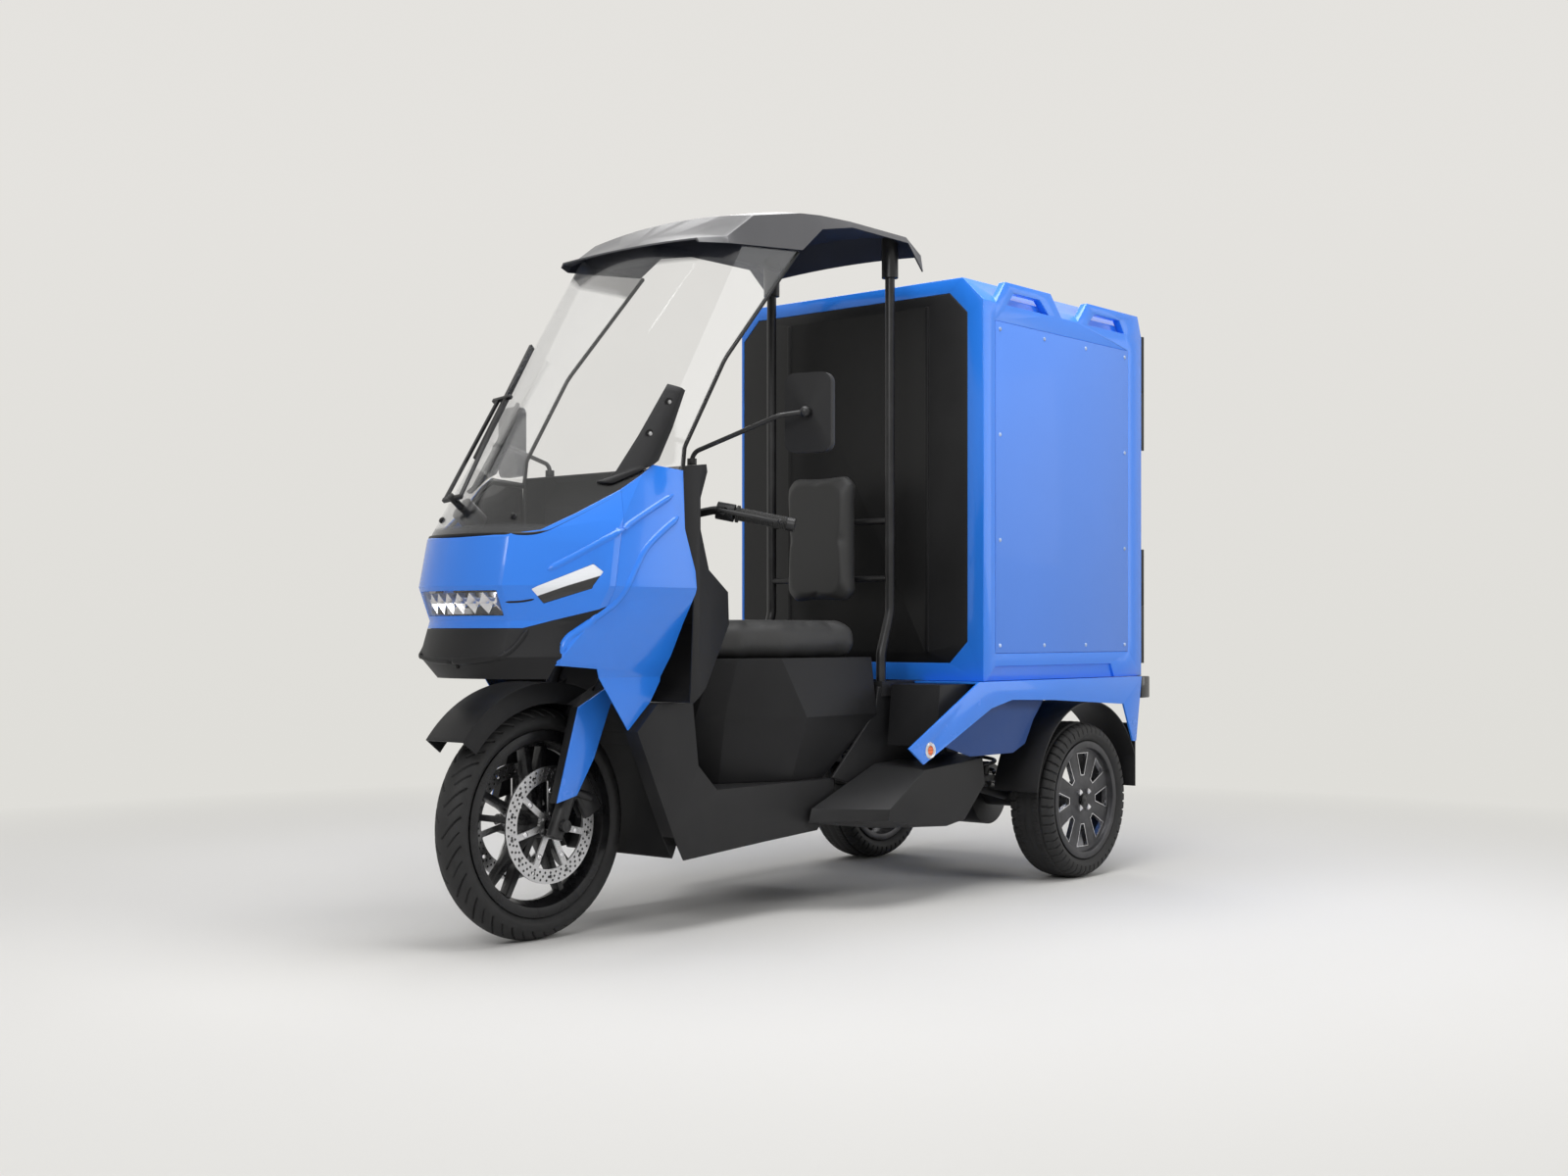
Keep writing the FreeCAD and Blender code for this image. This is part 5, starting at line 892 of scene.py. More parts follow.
    @classmethod
    def lip(cls, name: str, skin: BVHTree, line: Sequence[Point], outward: Point, size: tuple[float, float],
            finish: Finish) -> Piece:
        """A low moulded lip that follows a line on a surface and runs out at both ends.

        Args:
            name: The new piece's name.
            skin: The surface's search tree.
            line: Rough points on the surface.
            outward: The way that looks off the surface.
            size: The lip's half width and its height.
            finish: Its finish.

        Returns:
            The finished piece, on the chassis.
        """
        path = [Vector(point) for point in line]
        for _ in range(cls.lip_rounds):
            cut = [path[0]]
            for start, end in zip(path, path[1:]):
                cut += [start.lerp(end, 0.25), start.lerp(end, 0.75)]
            path = cut + [path[-1]]
        off = Vector(outward).normalized()
        laid = [skin.ray_cast(spot + off * cls.lip_reach, -off, cls.lip_limit)[:2] for spot in path]
        laid = [(place, normal) for place, normal in laid if place]
        half, high = size
        wide, rise = cls.lip_shoulder
        section = ((-1.0, -cls.lip_sunk), (-wide, rise * high), (0.0, high), (wide, rise * high),
                   (1.0, -cls.lip_sunk))
        points = []
        last = len(laid) - 1
        for index, (place, normal) in enumerate(laid):
            ahead = laid[min(index + 1, last)][0] - laid[max(index - 1, 0)][0]
            across = ahead.cross(normal).normalized()
            share = max(cls.lip_least, min(1.0, index / cls.lip_run_out, (last - index) / cls.lip_run_out))
            points += [tuple(place + across * (half * out * share) + normal * (lift * share))
                       for out, lift in section]
        count = len(section)
        faces = grid_faces(last + 1, count, closed=True)
        faces += [tuple(range(count)), tuple(range(last * count, (last + 1) * count))]
        return cls.settle(cls.from_points(name, points, faces, cls.lip_crease), finish, "chassis")

    @staticmethod
    def surface(*nodes: str) -> BVHTree:
        """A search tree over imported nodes, for setting trim on them."""
        return Workshop.skin(*[frame["nodes"][node] for node in nodes])

    @staticmethod
    def skin(*pieces: Piece) -> BVHTree:
        """A search tree over the pieces' meshes."""
        points: list[Vector] = []
        faces: list[list[int]] = []
        for piece in pieces:
            start = len(points)
            points += [vertex.co.copy() for vertex in piece.data.vertices]
            faces += [[start + index for index in polygon.vertices] for polygon in piece.data.polygons]
        return BVHTree.FromPolygons(points, faces)


class Repeats(Nodes):
    """A Geometry Nodes tree that repeats one shape on the points of a seed mesh."""

    rivet_rings = 8
    rivet_scale = (1.0, 1.0, 0.55)
    crown_tip = 0.0006
    crown_rise = 0.75
    crown_scale = (0.78, 0.78, 0.5)

    def __init__(self, name: str, sizes: dict[str, float]) -> None:
        """Start a tree with one named input for each size."""
        self.tree = bpy.data.node_groups.new(name, "GeometryNodeTree")
        sockets = [("Geometry", "INPUT", "NodeSocketGeometry")]
        sockets += [(label, "INPUT", "NodeSocketFloat") for label in sizes]
        sockets += [("Geometry", "OUTPUT", "NodeSocketGeometry")]
        for label, way, kind in sockets:
            self.tree.interface.new_socket(label, in_out=way, socket_type=kind)
        self.sizes = sizes
        self.entry = self.node("NodeGroupInput")
        self.exit = self.node("NodeGroupOutput")

    def source(self, value: object) -> object:
        """One of the tree's own sizes where a name is given, or what was given."""
        return self.entry.outputs[value] if isinstance(value, str) else value

    def head(self, kind: Stud) -> Socket:
        """One fastener head, standing along Z, in the tree's sizes "Radius" and "Height"."""
        if kind is Stud.RIVET:
            sizes = {"Segments": kind.value, "Rings": self.rivet_rings, "Radius": "Radius"}
            ball = self.node("GeometryNodeMeshUVSphere", None, sizes)
            flat = {"Geometry": ball.outputs[0], "Scale": self.rivet_scale}
            return self.node("GeometryNodeTransform", None, flat).outputs[0]
        sizes = {"Vertices": kind.value, "Radius": "Radius", "Depth": "Height"}
        plug = self.node("GeometryNodeMeshCylinder", None, sizes)
        sizes = {"Vertices": Stud.SCREW.value, "Radius Top": self.crown_tip, "Radius Bottom": "Radius",
                 "Depth": "Height"}
        cap = self.node("GeometryNodeMeshCone", None, sizes)
        rise = self.node("ShaderNodeMath", {"operation": "MULTIPLY"}, {0: "Height", 1: self.crown_rise})
        lift = self.node("ShaderNodeCombineXYZ", None, {2: rise.outputs[0]})
        small = {"Geometry": cap.outputs[0], "Translation": lift.outputs[0], "Scale": self.crown_scale}
        crown = self.node("GeometryNodeTransform", None, small)
        join = self.node("GeometryNodeJoinGeometry", None, {0: plug.outputs[0]})
        self.tree.links.new(crown.outputs[0], join.inputs[0])
        return join.outputs[0]

    def spread(self, shape: Socket, turn: object = (0.0, 0.0, 0.0)) -> Socket:
        """The shape on every point of the seed mesh, with a turn."""
        inputs = {"Points": "Geometry", "Instance": shape, "Rotation": turn}
        return self.node("GeometryNodeInstanceOnPoints", None, inputs).outputs[0]

    def run(self, name: str, copies: Socket, places: Sequence[Point], finish: Finish, body: str,
            smooth: float = 40.0) -> Piece:
        """End the tree, run it over places and settle the plain result.

        Args:
            name: The new piece's name.
            copies: The tree's repeated shapes.
            places: The points of the seed mesh.
            finish: The piece's finish.
            body: The body that carries it.
            smooth: The crease angle in degrees.

        Returns:
            The finished piece.
        """
        real = self.node("GeometryNodeRealizeInstances", None, {0: copies})
        inputs = {"Geometry": real.outputs[0], "Material": finish.material()}
        cover = self.node("GeometryNodeSetMaterial", None, inputs)
        self.tree.links.new(cover.outputs[0], self.exit.inputs[0])
        seed = bpy.data.meshes.new(name)
        seed.from_pydata([tuple(place) for place in places], [], [])
        piece = Workshop.link(name, seed)
        modifier = piece.modifiers.new("repeats", "NODES")
        modifier.node_group = self.tree
        for item in self.tree.interface.items_tree:
            if item.in_out == "INPUT" and item.name in self.sizes:
                modifier[item.identifier] = self.sizes[item.name]
        Workshop.baked(piece)
        Workshop.smooth(piece.data, smooth)
        return Workshop.settle(piece, finish, body)


@dataclass(frozen=True)
class Fastener:
    """A small fastener: its kind, the size of its head and its finish."""

    kind: Stud
    radius: float
    height: float
    finish: Finish

    def fix(self, name: str, places: Sequence[Point], facing: Point, body: str = "chassis") -> Piece:
        """Set one head on each place, all facing one way, as one piece on a body."""
        tree = Repeats(name + "_tree", {"Radius": self.radius, "Height": self.height})
        turn = Vector((0, 0, 1)).rotation_difference(Vector(facing)).to_euler()
        return tree.run(name, tree.spread(tree.head(self.kind), tuple(turn)), places, self.finish, body)


DISC_BOLT = Fastener(Stud.NUT, 0.0055, 0.0025, ZINC)
CARRIER_BUTTON = Fastener(Stud.RIVET, 0.0075, 0.004, MACHINED)
WHEEL_NUT = Fastener(Stud.NUT, 0.0095, 0.012, MACHINED)
HUB_CAP = Fastener(Stud.SCREW, 0.019, 0.008, RIM_BLACK)
TOW_PLUG = Fastener(Stud.SCREW, 0.007, 0.004, BLACK_PANEL)
SCREEN_SCREW = Fastener(Stud.SCREW, 0.008, 0.006, BLACK_METAL)
BRACE_WELL = Fastener(Stud.SCREW, 0.011, 0.003, BLACK_PANEL)
BRACE_SCREW = Fastener(Stud.SCREW, 0.005, 0.003, ZINC)
PANEL_RIVET = Fastener(Stud.RIVET, 0.0062, 0.004, RIVET)


def ring_places(centre: Point, radius: float, count: int, start: float = 0.0) -> list[Point]:
    """Points in a ring about the X axis through a centre.

    Args:
        centre: The ring's middle.
        radius: Its radius.
        count: How many points.
        start: The first point's angle in radians from straight up.

    Returns:
        The points.
    """
    x, y, z = centre
    angles = [start + math.tau * index / count for index in range(count)]
    return [(x, y + radius * math.sin(angle), z + radius * math.cos(angle)) for angle in angles]


@dataclass
class Tyre:
    """A tyre with its tread cut into a fine grid."""

    node: str
    centre: Point
    radius: float
    half_width: float
    bead_half: float
    bead_radius: float
    flange_radius: float
    shoulder_radius: float
    tread: Tread
    finish: Finish
    squareness: float = 2.0
    turns: int = 720
    tread_points: int = 49
    wall_points: int = 10
    wall: float = 0.011
    wall_curve: float = 0.8
    bead_gap: float = 0.0006
    flange_gap: float = 0.0008
    groove_depth: float = 0.0048
    groove_soft: float = 0.0024
    off_tread: float = 2.0
    long_groove: float = 0.0052
    short_groove: float = 0.0036
    lug_groove: float = 0.0048
    sipe: float = 0.0016
    ring_grooves: tuple[tuple[float, float], ...] = ((0.013, 0.006), (0.04, 0.0065))

    def section(self) -> tuple[np.ndarray, np.ndarray, np.ndarray]:
        """The closed section.

        Returns:
            Distances across, radii, and tread shares that run from -1 to 1 and are 2 off the tread.
        """
        bend = np.linspace(-math.pi / 2, math.pi / 2, self.tread_points)
        power = 2.0 / self.squareness
        across = self.half_width * np.sign(np.sin(bend)) * np.abs(np.sin(bend)) ** power
        rise = self.radius - self.shoulder_radius
        reach = self.shoulder_radius + rise * np.abs(np.cos(bend)) ** power
        share = np.clip(across / self.half_width, -1, 1)
        step = np.linspace(0.0, 1.0, self.wall_points, endpoint=False)
        low = self.flange_radius + self.flange_gap
        bead = self.bead_radius + self.bead_gap
        bulge = self.half_width - self.bead_half
        wall_across = self.bead_half + bulge * np.sin(step * math.pi / 2) ** self.wall_curve
        wall_reach = low + (self.shoulder_radius - low) * step
        wall_across = np.concatenate(([self.bead_half], wall_across))
        wall_reach = np.concatenate(([bead], wall_reach))
        toe = self.bead_half - self.wall / 2
        inner_across = np.array([toe, toe, self.half_width - self.wall])
        inner_reach = np.array([bead, self.flange_radius, self.shoulder_radius])
        crown = np.array([self.radius - self.wall])
        xs = np.concatenate((-wall_across, across, wall_across[::-1], inner_across, [0.0],
                             -inner_across[::-1]))
        rs = np.concatenate((wall_reach, reach, wall_reach[::-1], inner_reach, crown, inner_reach[::-1]))
        before = np.full(len(wall_across), self.off_tread)
        after = np.full(len(xs) - len(before) - len(share), self.off_tread)
        return xs, rs, np.concatenate((before, share, after))

    def notch(self, distance: np.ndarray, width: float) -> np.ndarray:
        """A soft-edged groove of a width, 1 in its middle."""
        half = width / 2 + self.groove_soft / 2
        return np.clip((half - np.abs(distance)) / self.groove_soft, 0.0, 1.0)

    @staticmethod
    def phase(turn: np.ndarray) -> np.ndarray:
        """The place within one repeat, from -0.5 to 0.5."""
        return turn % 1.0 - 0.5

    def cut(self, angle: np.ndarray, share: np.ndarray) -> np.ndarray:
        """How deep the tread is cut, from 0 to 1, over angles and tread shares."""
        side = np.sign(share)
        size = np.abs(share)
        turn = angle / math.tau * self.tread.value
        pitch = math.tau * self.radius / self.tread.value
        if self.tread is Tread.CHEVRON:
            lean = turn + 0.25 * side - 0.85 * size ** 1.25
            long = self.notch(self.phase(lean + 0.5) * pitch, self.long_groove)
            short = self.notch(self.phase(lean) * pitch, self.short_groove)
            grooves = [long * (size > 0.1) * (size < 0.93), short * (size > 0.42) * (size < 0.9)]
        else:
            across = size * self.half_width
            grooves = [self.notch(across - middle, width) for middle, width in self.ring_grooves]
            lug = self.phase(turn + 0.5 * (side > 0) + 0.3 * size) * pitch
            sipe = self.phase(turn * 2.0 + 0.4 * size) * pitch / 2
            grooves += [self.notch(lug, self.lug_groove) * (size > 0.58),
                        0.5 * self.notch(sipe, self.sipe) * (size > 0.2) * (size < 0.54)]
        return np.maximum.reduce(grooves) * (size <= 1.0)

    def build(self) -> Piece:
        """Turn the section about the axle, cut the tread and settle the tyre."""
        xs, rs, shares = self.section()
        slope_x = np.gradient(np.concatenate((xs[-1:], xs, xs[:1])))[1:-1]
        slope_r = np.gradient(np.concatenate((rs[-1:], rs, rs[:1])))[1:-1]
        size = np.hypot(slope_x, slope_r)
        inward_x = slope_r / size
        inward_r = -slope_x / size
        angle = np.linspace(0.0, math.tau, self.turns, endpoint=False)[:, None]
        depth = self.groove_depth * self.cut(angle, np.broadcast_to(shares, (self.turns, len(xs))))
        reach = rs + inward_r * depth
        x, y, z = self.centre
        spots = (x + xs + inward_x * depth, y + reach * np.sin(angle), z + reach * np.cos(angle))
        points = np.stack(spots, axis=2).reshape(-1, 3)
        faces = grid_faces(self.turns, len(xs), closed=True, turned=True)
        piece = Workshop.from_points(self.node + "_treaded", points.tolist(), faces, 40.0)
        return Workshop.settle(piece, self.finish, body_of(self.node), [self.node])


@dataclass
class FrontWheel:
    """The front wheel with its brake, fork and mudguard."""

    axle: Point = (0.0, -0.979, 0.288)
    disc_face: float = 0.0686
    bolt_ring: float = 0.027
    bolt_count: int = 6
    carrier_ring: float = 0.084
    carrier_count: int = 7

    def dress(self) -> None:
        """Tread, rim, discs and fork."""
        Tyre("front_tyre", self.axle, radius=0.288, half_width=0.0475, bead_half=0.033, bead_radius=0.212,
             flange_radius=0.230, shoulder_radius=0.250, tread=Tread.CHEVRON, finish=FRONT_RUBBER).build()
        Workshop.softened("front_rim", RIM_BLACK, 0.003)
        Workshop.dressed("brake_discs", DISC_STEEL)
        Workshop.soften(("fork_lowers", BLACK_METAL, 0.0015), ("brake_calipers", BLACK_METAL, 0.002),
                        ("fork_cover_panels", AZURE, 0.0015), ("front_fender", CHARCOAL, 0.002),
                        ("fork_crown", BLACK_METAL, 0.002))
        for side in Side:
            face = (side.value * self.disc_face, self.axle[1], self.axle[2])
            out = (side.value, 0, 0)
            bolts = ring_places(face, self.bolt_ring, self.bolt_count)
            DISC_BOLT.fix("disc_bolts_" + side.word, bolts, out, "front_wheel")
            buttons = ring_places(face, self.carrier_ring, self.carrier_count)
            CARRIER_BUTTON.fix("carrier_buttons_" + side.word, buttons, out, "front_wheel")


@dataclass
class RearWheel:
    """One rear wheel: blocky tyre, dished rim, bright window edges and wheel nuts."""

    side: Side
    track: float = 0.788
    axle_y: float = 0.897
    radius: float = 0.242
    face: float = 0.05
    window_count: int = 8
    window_inner: float = 0.074
    window_outer: float = 0.146
    window_inner_half: float = 0.011
    window_outer_half: float = 0.034
    edge: float = 0.0032
    edge_share: float = 0.55
    edge_depth: float = 0.0155
    edge_sunk: float = 0.0075
    nut_ring: float = 0.034
    nut_count: int = 4
    nut_proud: float = 0.0015

    def middle(self) -> Point:
        """The wheel's middle."""
        return (self.side.value * self.track / 2, self.axle_y, self.radius)

    def build(self) -> None:
        """Build and dress the whole wheel."""
        word = self.side.word
        body = "rear_wheel_" + word
        Tyre("rear_tyre_" + word, self.middle(), radius=self.radius, half_width=0.0725, bead_half=0.058,
             bead_radius=0.168, flange_radius=0.182, shoulder_radius=0.206, tread=Tread.BLOCK,
             finish=REAR_RUBBER, squareness=2.7, turns=624).build()
        Workshop.softened("rear_rim_" + word, GUNMETAL, 0.003)
        self.window_edges(word, body)
        out = (self.side.value, 0, 0)
        x = self.side.value * (self.track / 2 + self.face + self.nut_proud)
        hub = (x, self.axle_y, self.radius)
        nuts = ring_places(hub, self.nut_ring, self.nut_count, math.pi / 4)
        WHEEL_NUT.fix("wheel_nuts_" + word, nuts, out, body)
        HUB_CAP.fix("hub_cap_" + word, [hub], out, body)

    def window_edges(self, word: str, body: str) -> Piece:
        """The bright flanks of the rim's windows: one framed trapezoid, repeated round the axle."""
        shrink = self.edge * self.edge_share
        sizes = {"Bottom": 2 * (self.window_inner_half - shrink),
                 "Top": 2 * (self.window_outer_half - shrink),
                 "Rise": self.window_outer - self.window_inner - 2 * shrink,
                 "Edge": self.edge, "Depth": self.edge_depth}
        tree = Repeats("window_edges_" + word + "_tree", sizes)
        shape = "GeometryNodeCurvePrimitiveQuadrilateral"
        inputs = {"Height": "Rise", "Bottom Width": "Bottom", "Top Width": "Top", "Offset": 0.0}
        outline = tree.node(shape, {"mode": "TRAPEZOID"}, inputs)
        bar = tree.node(shape, {"mode": "RECTANGLE"}, {"Width": "Edge", "Height": "Depth"})
        inputs = {"Curve": outline.outputs[0], "Profile Curve": bar.outputs[0]}
        swept = tree.node("GeometryNodeCurveToMesh", None, inputs)
        inputs = {"Geometry": swept.outputs[0], "Rotation": (math.pi / 2, 0.0, math.pi / 2),
                  "Translation": (0.0, 0.0, (self.window_inner + self.window_outer) / 2)}
        upright = tree.node("GeometryNodeTransform", None, inputs)
        inputs = {0: tree.node("GeometryNodeInputIndex").outputs[0], 1: math.tau / self.window_count}
        step = tree.node("ShaderNodeMath", {"operation": "MULTIPLY"}, inputs)
        turn = tree.node("ShaderNodeCombineXYZ", None, {0: step.outputs[0]})
        copies = tree.spread(upright.outputs[0], turn.outputs[0])
        x, y, z = self.middle()
        places = [(x + self.side.value * (self.face - self.edge_sunk), y, z)] * self.window_count
        return tree.run("window_edges_" + word, copies, places, MACHINED, body, 30.0)


@dataclass
class Cockpit:
    """Handlebar, grips, levers, switches and the display pod."""

    pod: Point = (0.0, -0.5807, 1.1122)
    pod_tilt: float = math.radians(35.0)
    face_height: float = 0.0224
    face_half_width: float = 0.064
    face_half_depth: float = 0.025
    face_crown: float = 0.0022
    face_columns: int = 24
    face_rows: int = 10
    glass: float = 0.0016

    def dress(self) -> None:
        """Finish every control and add the display's face."""
        Workshop.dressed("handlebar", BLACK_METAL)
        Workshop.dressed("grip_left", GRIP_LEFT)
        Workshop.dressed("throttle_grip", GRIP_RIGHT)
        Workshop.soften(("switch_housings", CHARCOAL, 0.002), ("brake_lever_left", BLACK_METAL, 0.001),
                        ("brake_lever_right", BLACK_METAL, 0.001), ("horn_button", RED_LENS, 0.0006),
                        ("ready_button", AMBER_LENS, 0.0006), ("dash_display", BLACK_PANEL, 0.002))
        self.display_face()

    def display_face(self) -> Piece:
        """A crowned glass plate in the pod's recess."""
        points = []
        turn_y = math.cos(self.pod_tilt)
        turn_z = math.sin(self.pod_tilt)
        for row in range(self.face_rows + 1):
            along = (2 * row / self.face_rows - 1) * self.face_half_depth
            for column in range(self.face_columns + 1):
                across = (2 * column / self.face_columns - 1) * self.face_half_width
                crown = self.face_crown * (1 - (across / self.face_half_width) ** 2)
                lift = self.face_height + crown
                points.append((self.pod[0] + across, self.pod[1] + along * turn_y - lift * turn_z,
                               self.pod[2] + along * turn_z + lift * turn_y))
        faces = grid_faces(self.face_rows + 1, self.face_columns + 1)
        piece = Workshop.from_points("display_face", points, faces)
        return Workshop.settle(Workshop.thickened(piece, self.glass, -1.0), DISPLAY, "steering")


@dataclass
class Fairing:
    """Nose, wings, bumper, legshield and the lamps in them."""

    facet_columns: int = 7
    facet_rows: int = 2
    facet_near: float = 0.006
    facet_far: float = 0.026
    facet_inset: float = 0.004
    facet_limit: float = 0.03
    facet_sheet: float = 0.0015
    lip_line: tuple[Point, ...] = (
        (0.2977, -0.764, 1.045), (0.2979, -0.828, 1.003), (0.2984, -0.883, 0.962), (0.2994, -0.919, 0.907),
        (0.2872, -0.954, 0.837), (0.2722, -1.011, 0.799), (0.2528, -1.053, 0.768), (0.2343, -1.087, 0.743),
        (0.2257, -1.103, 0.686))
    brow_line: tuple[Point, ...] = (
        (0.2098, -1.121, 0.906), (0.2408, -1.072, 0.935), (0.2722, -1.023, 0.967), (0.2974, -0.980, 0.995),
        (0.2977, -0.879, 1.049), (0.2974, -0.781, 1.099))
    lamp_line: tuple[Point, ...] = ((0.142, -1.190, 0.831), (0.172, -1.166, 0.832), (0.192, -1.143, 0.838))
    pocket_line: tuple[Point, ...] = (
        (0.0, -1.234, 0.689), (0.05, -1.231, 0.690), (0.10, -1.220, 0.693), (0.15, -1.207, 0.702),
        (0.167, -1.176, 0.728), (0.177, -1.150, 0.768))
    tow_hole: Point = (0.012, -1.2255, 0.680)
    seal_line: tuple[Point, ...] = ((0.289, -0.743, 0.995), (0.289, -0.743, 1.075), (0.289, -0.743, 1.158))
    seal_radius: float = 0.006

    def dress(self) -> None:
        """Finish the panels and build the lamp insides."""
        nose = Workshop.softened("nose_cowl", AZURE, 0.010, 4)
        wings = Workshop.softened("side_cowls", WING_BLUE, 0.006, 3)
        bumper = Workshop.softened("front_bumper", CHARCOAL, 0.008, 4)
        Workshop.softened("legshield", CHARCOAL, 0.004, 3)
        Workshop.dressed("headlamp_lens", LENS)
        Workshop.softened("side_lamps", LAMP_FACE, 0.002)
        self.reflector()
        self.trim(Workshop.skin(nose, wings), Workshop.skin(bumper))

    def trim(self, body: BVHTree, bumper: BVHTree) -> None:
        """Raised lips on the wings, the line between the lamps and the bumper's pocket."""
        for side in Side:
            off = (side.value * 0.8, -0.6, 0.0)
            lips = {"wing_lip_": (body, self.lip_line, off, (0.010, 0.006), AZURE),
                    "brow_lip_": (body, self.brow_line, off, (0.009, 0.005), AZURE),
                    "lamp_strip_": (body, self.lamp_line, off, (0.003, 0.0018), BLACK_PANEL),
                    "pocket_lip_": (bumper, self.pocket_line, (0.0, -1.0, 0.0), (0.008, 0.005), CHARCOAL)}
            for name, (skin, line, way, size, finish) in lips.items():
                Workshop.lip(name + side.word, skin, side.mirrored(line), way, size, finish)
            seal = side.mirrored(self.seal_line)
            Workshop.bead("cowl_seal_" + side.word, seal, self.seal_radius, BLACK_PANEL)
        TOW_PLUG.fix("tow_plug", [self.tow_hole], (0, -1, 0))

    def reflector(self) -> Piece:
        """The headlamp's folded mirror: a band of slanting facets behind the lens."""
        tree = Workshop.surface("headlamp_lens")
        low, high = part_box("headlamp_lens")
        points = []
        wide = self.facet_columns * 2 + 1
        inset = self.facet_inset
        for row in range(self.facet_rows + 1):
            z = low[2] + inset + (high[2] - low[2] - 2 * inset) * row / self.facet_rows
            for column in range(wide):
                x = (low[0] + inset) + (high[0] - low[0] - 2 * inset) * column / (wide - 1)
                hit = tree.ray_cast(Vector((x, -0.9, z)), Vector((0, -1, 0)))[0]
                skin = hit.y if hit else high[1]
                depth = self.facet_far if (column + row) % 2 else self.facet_near
                points.append((x, min(skin + depth, high[1] + self.facet_limit), z))
        faces = []
        for near, right, far_right, far in grid_faces(self.facet_rows + 1, wide):
            if sum(divmod(near, wide)) % 2:
                faces += [(near, right, far), (right, far_right, far)]
            else:
                faces += [(near, right, far_right), (near, far_right, far)]
        piece = Workshop.from_points("headlamp_facets", points, faces, 8.0)
        Workshop.thickened(piece, self.facet_sheet)
        return Workshop.settle(piece, CHROME, "chassis", ["headlamp_reflector"])


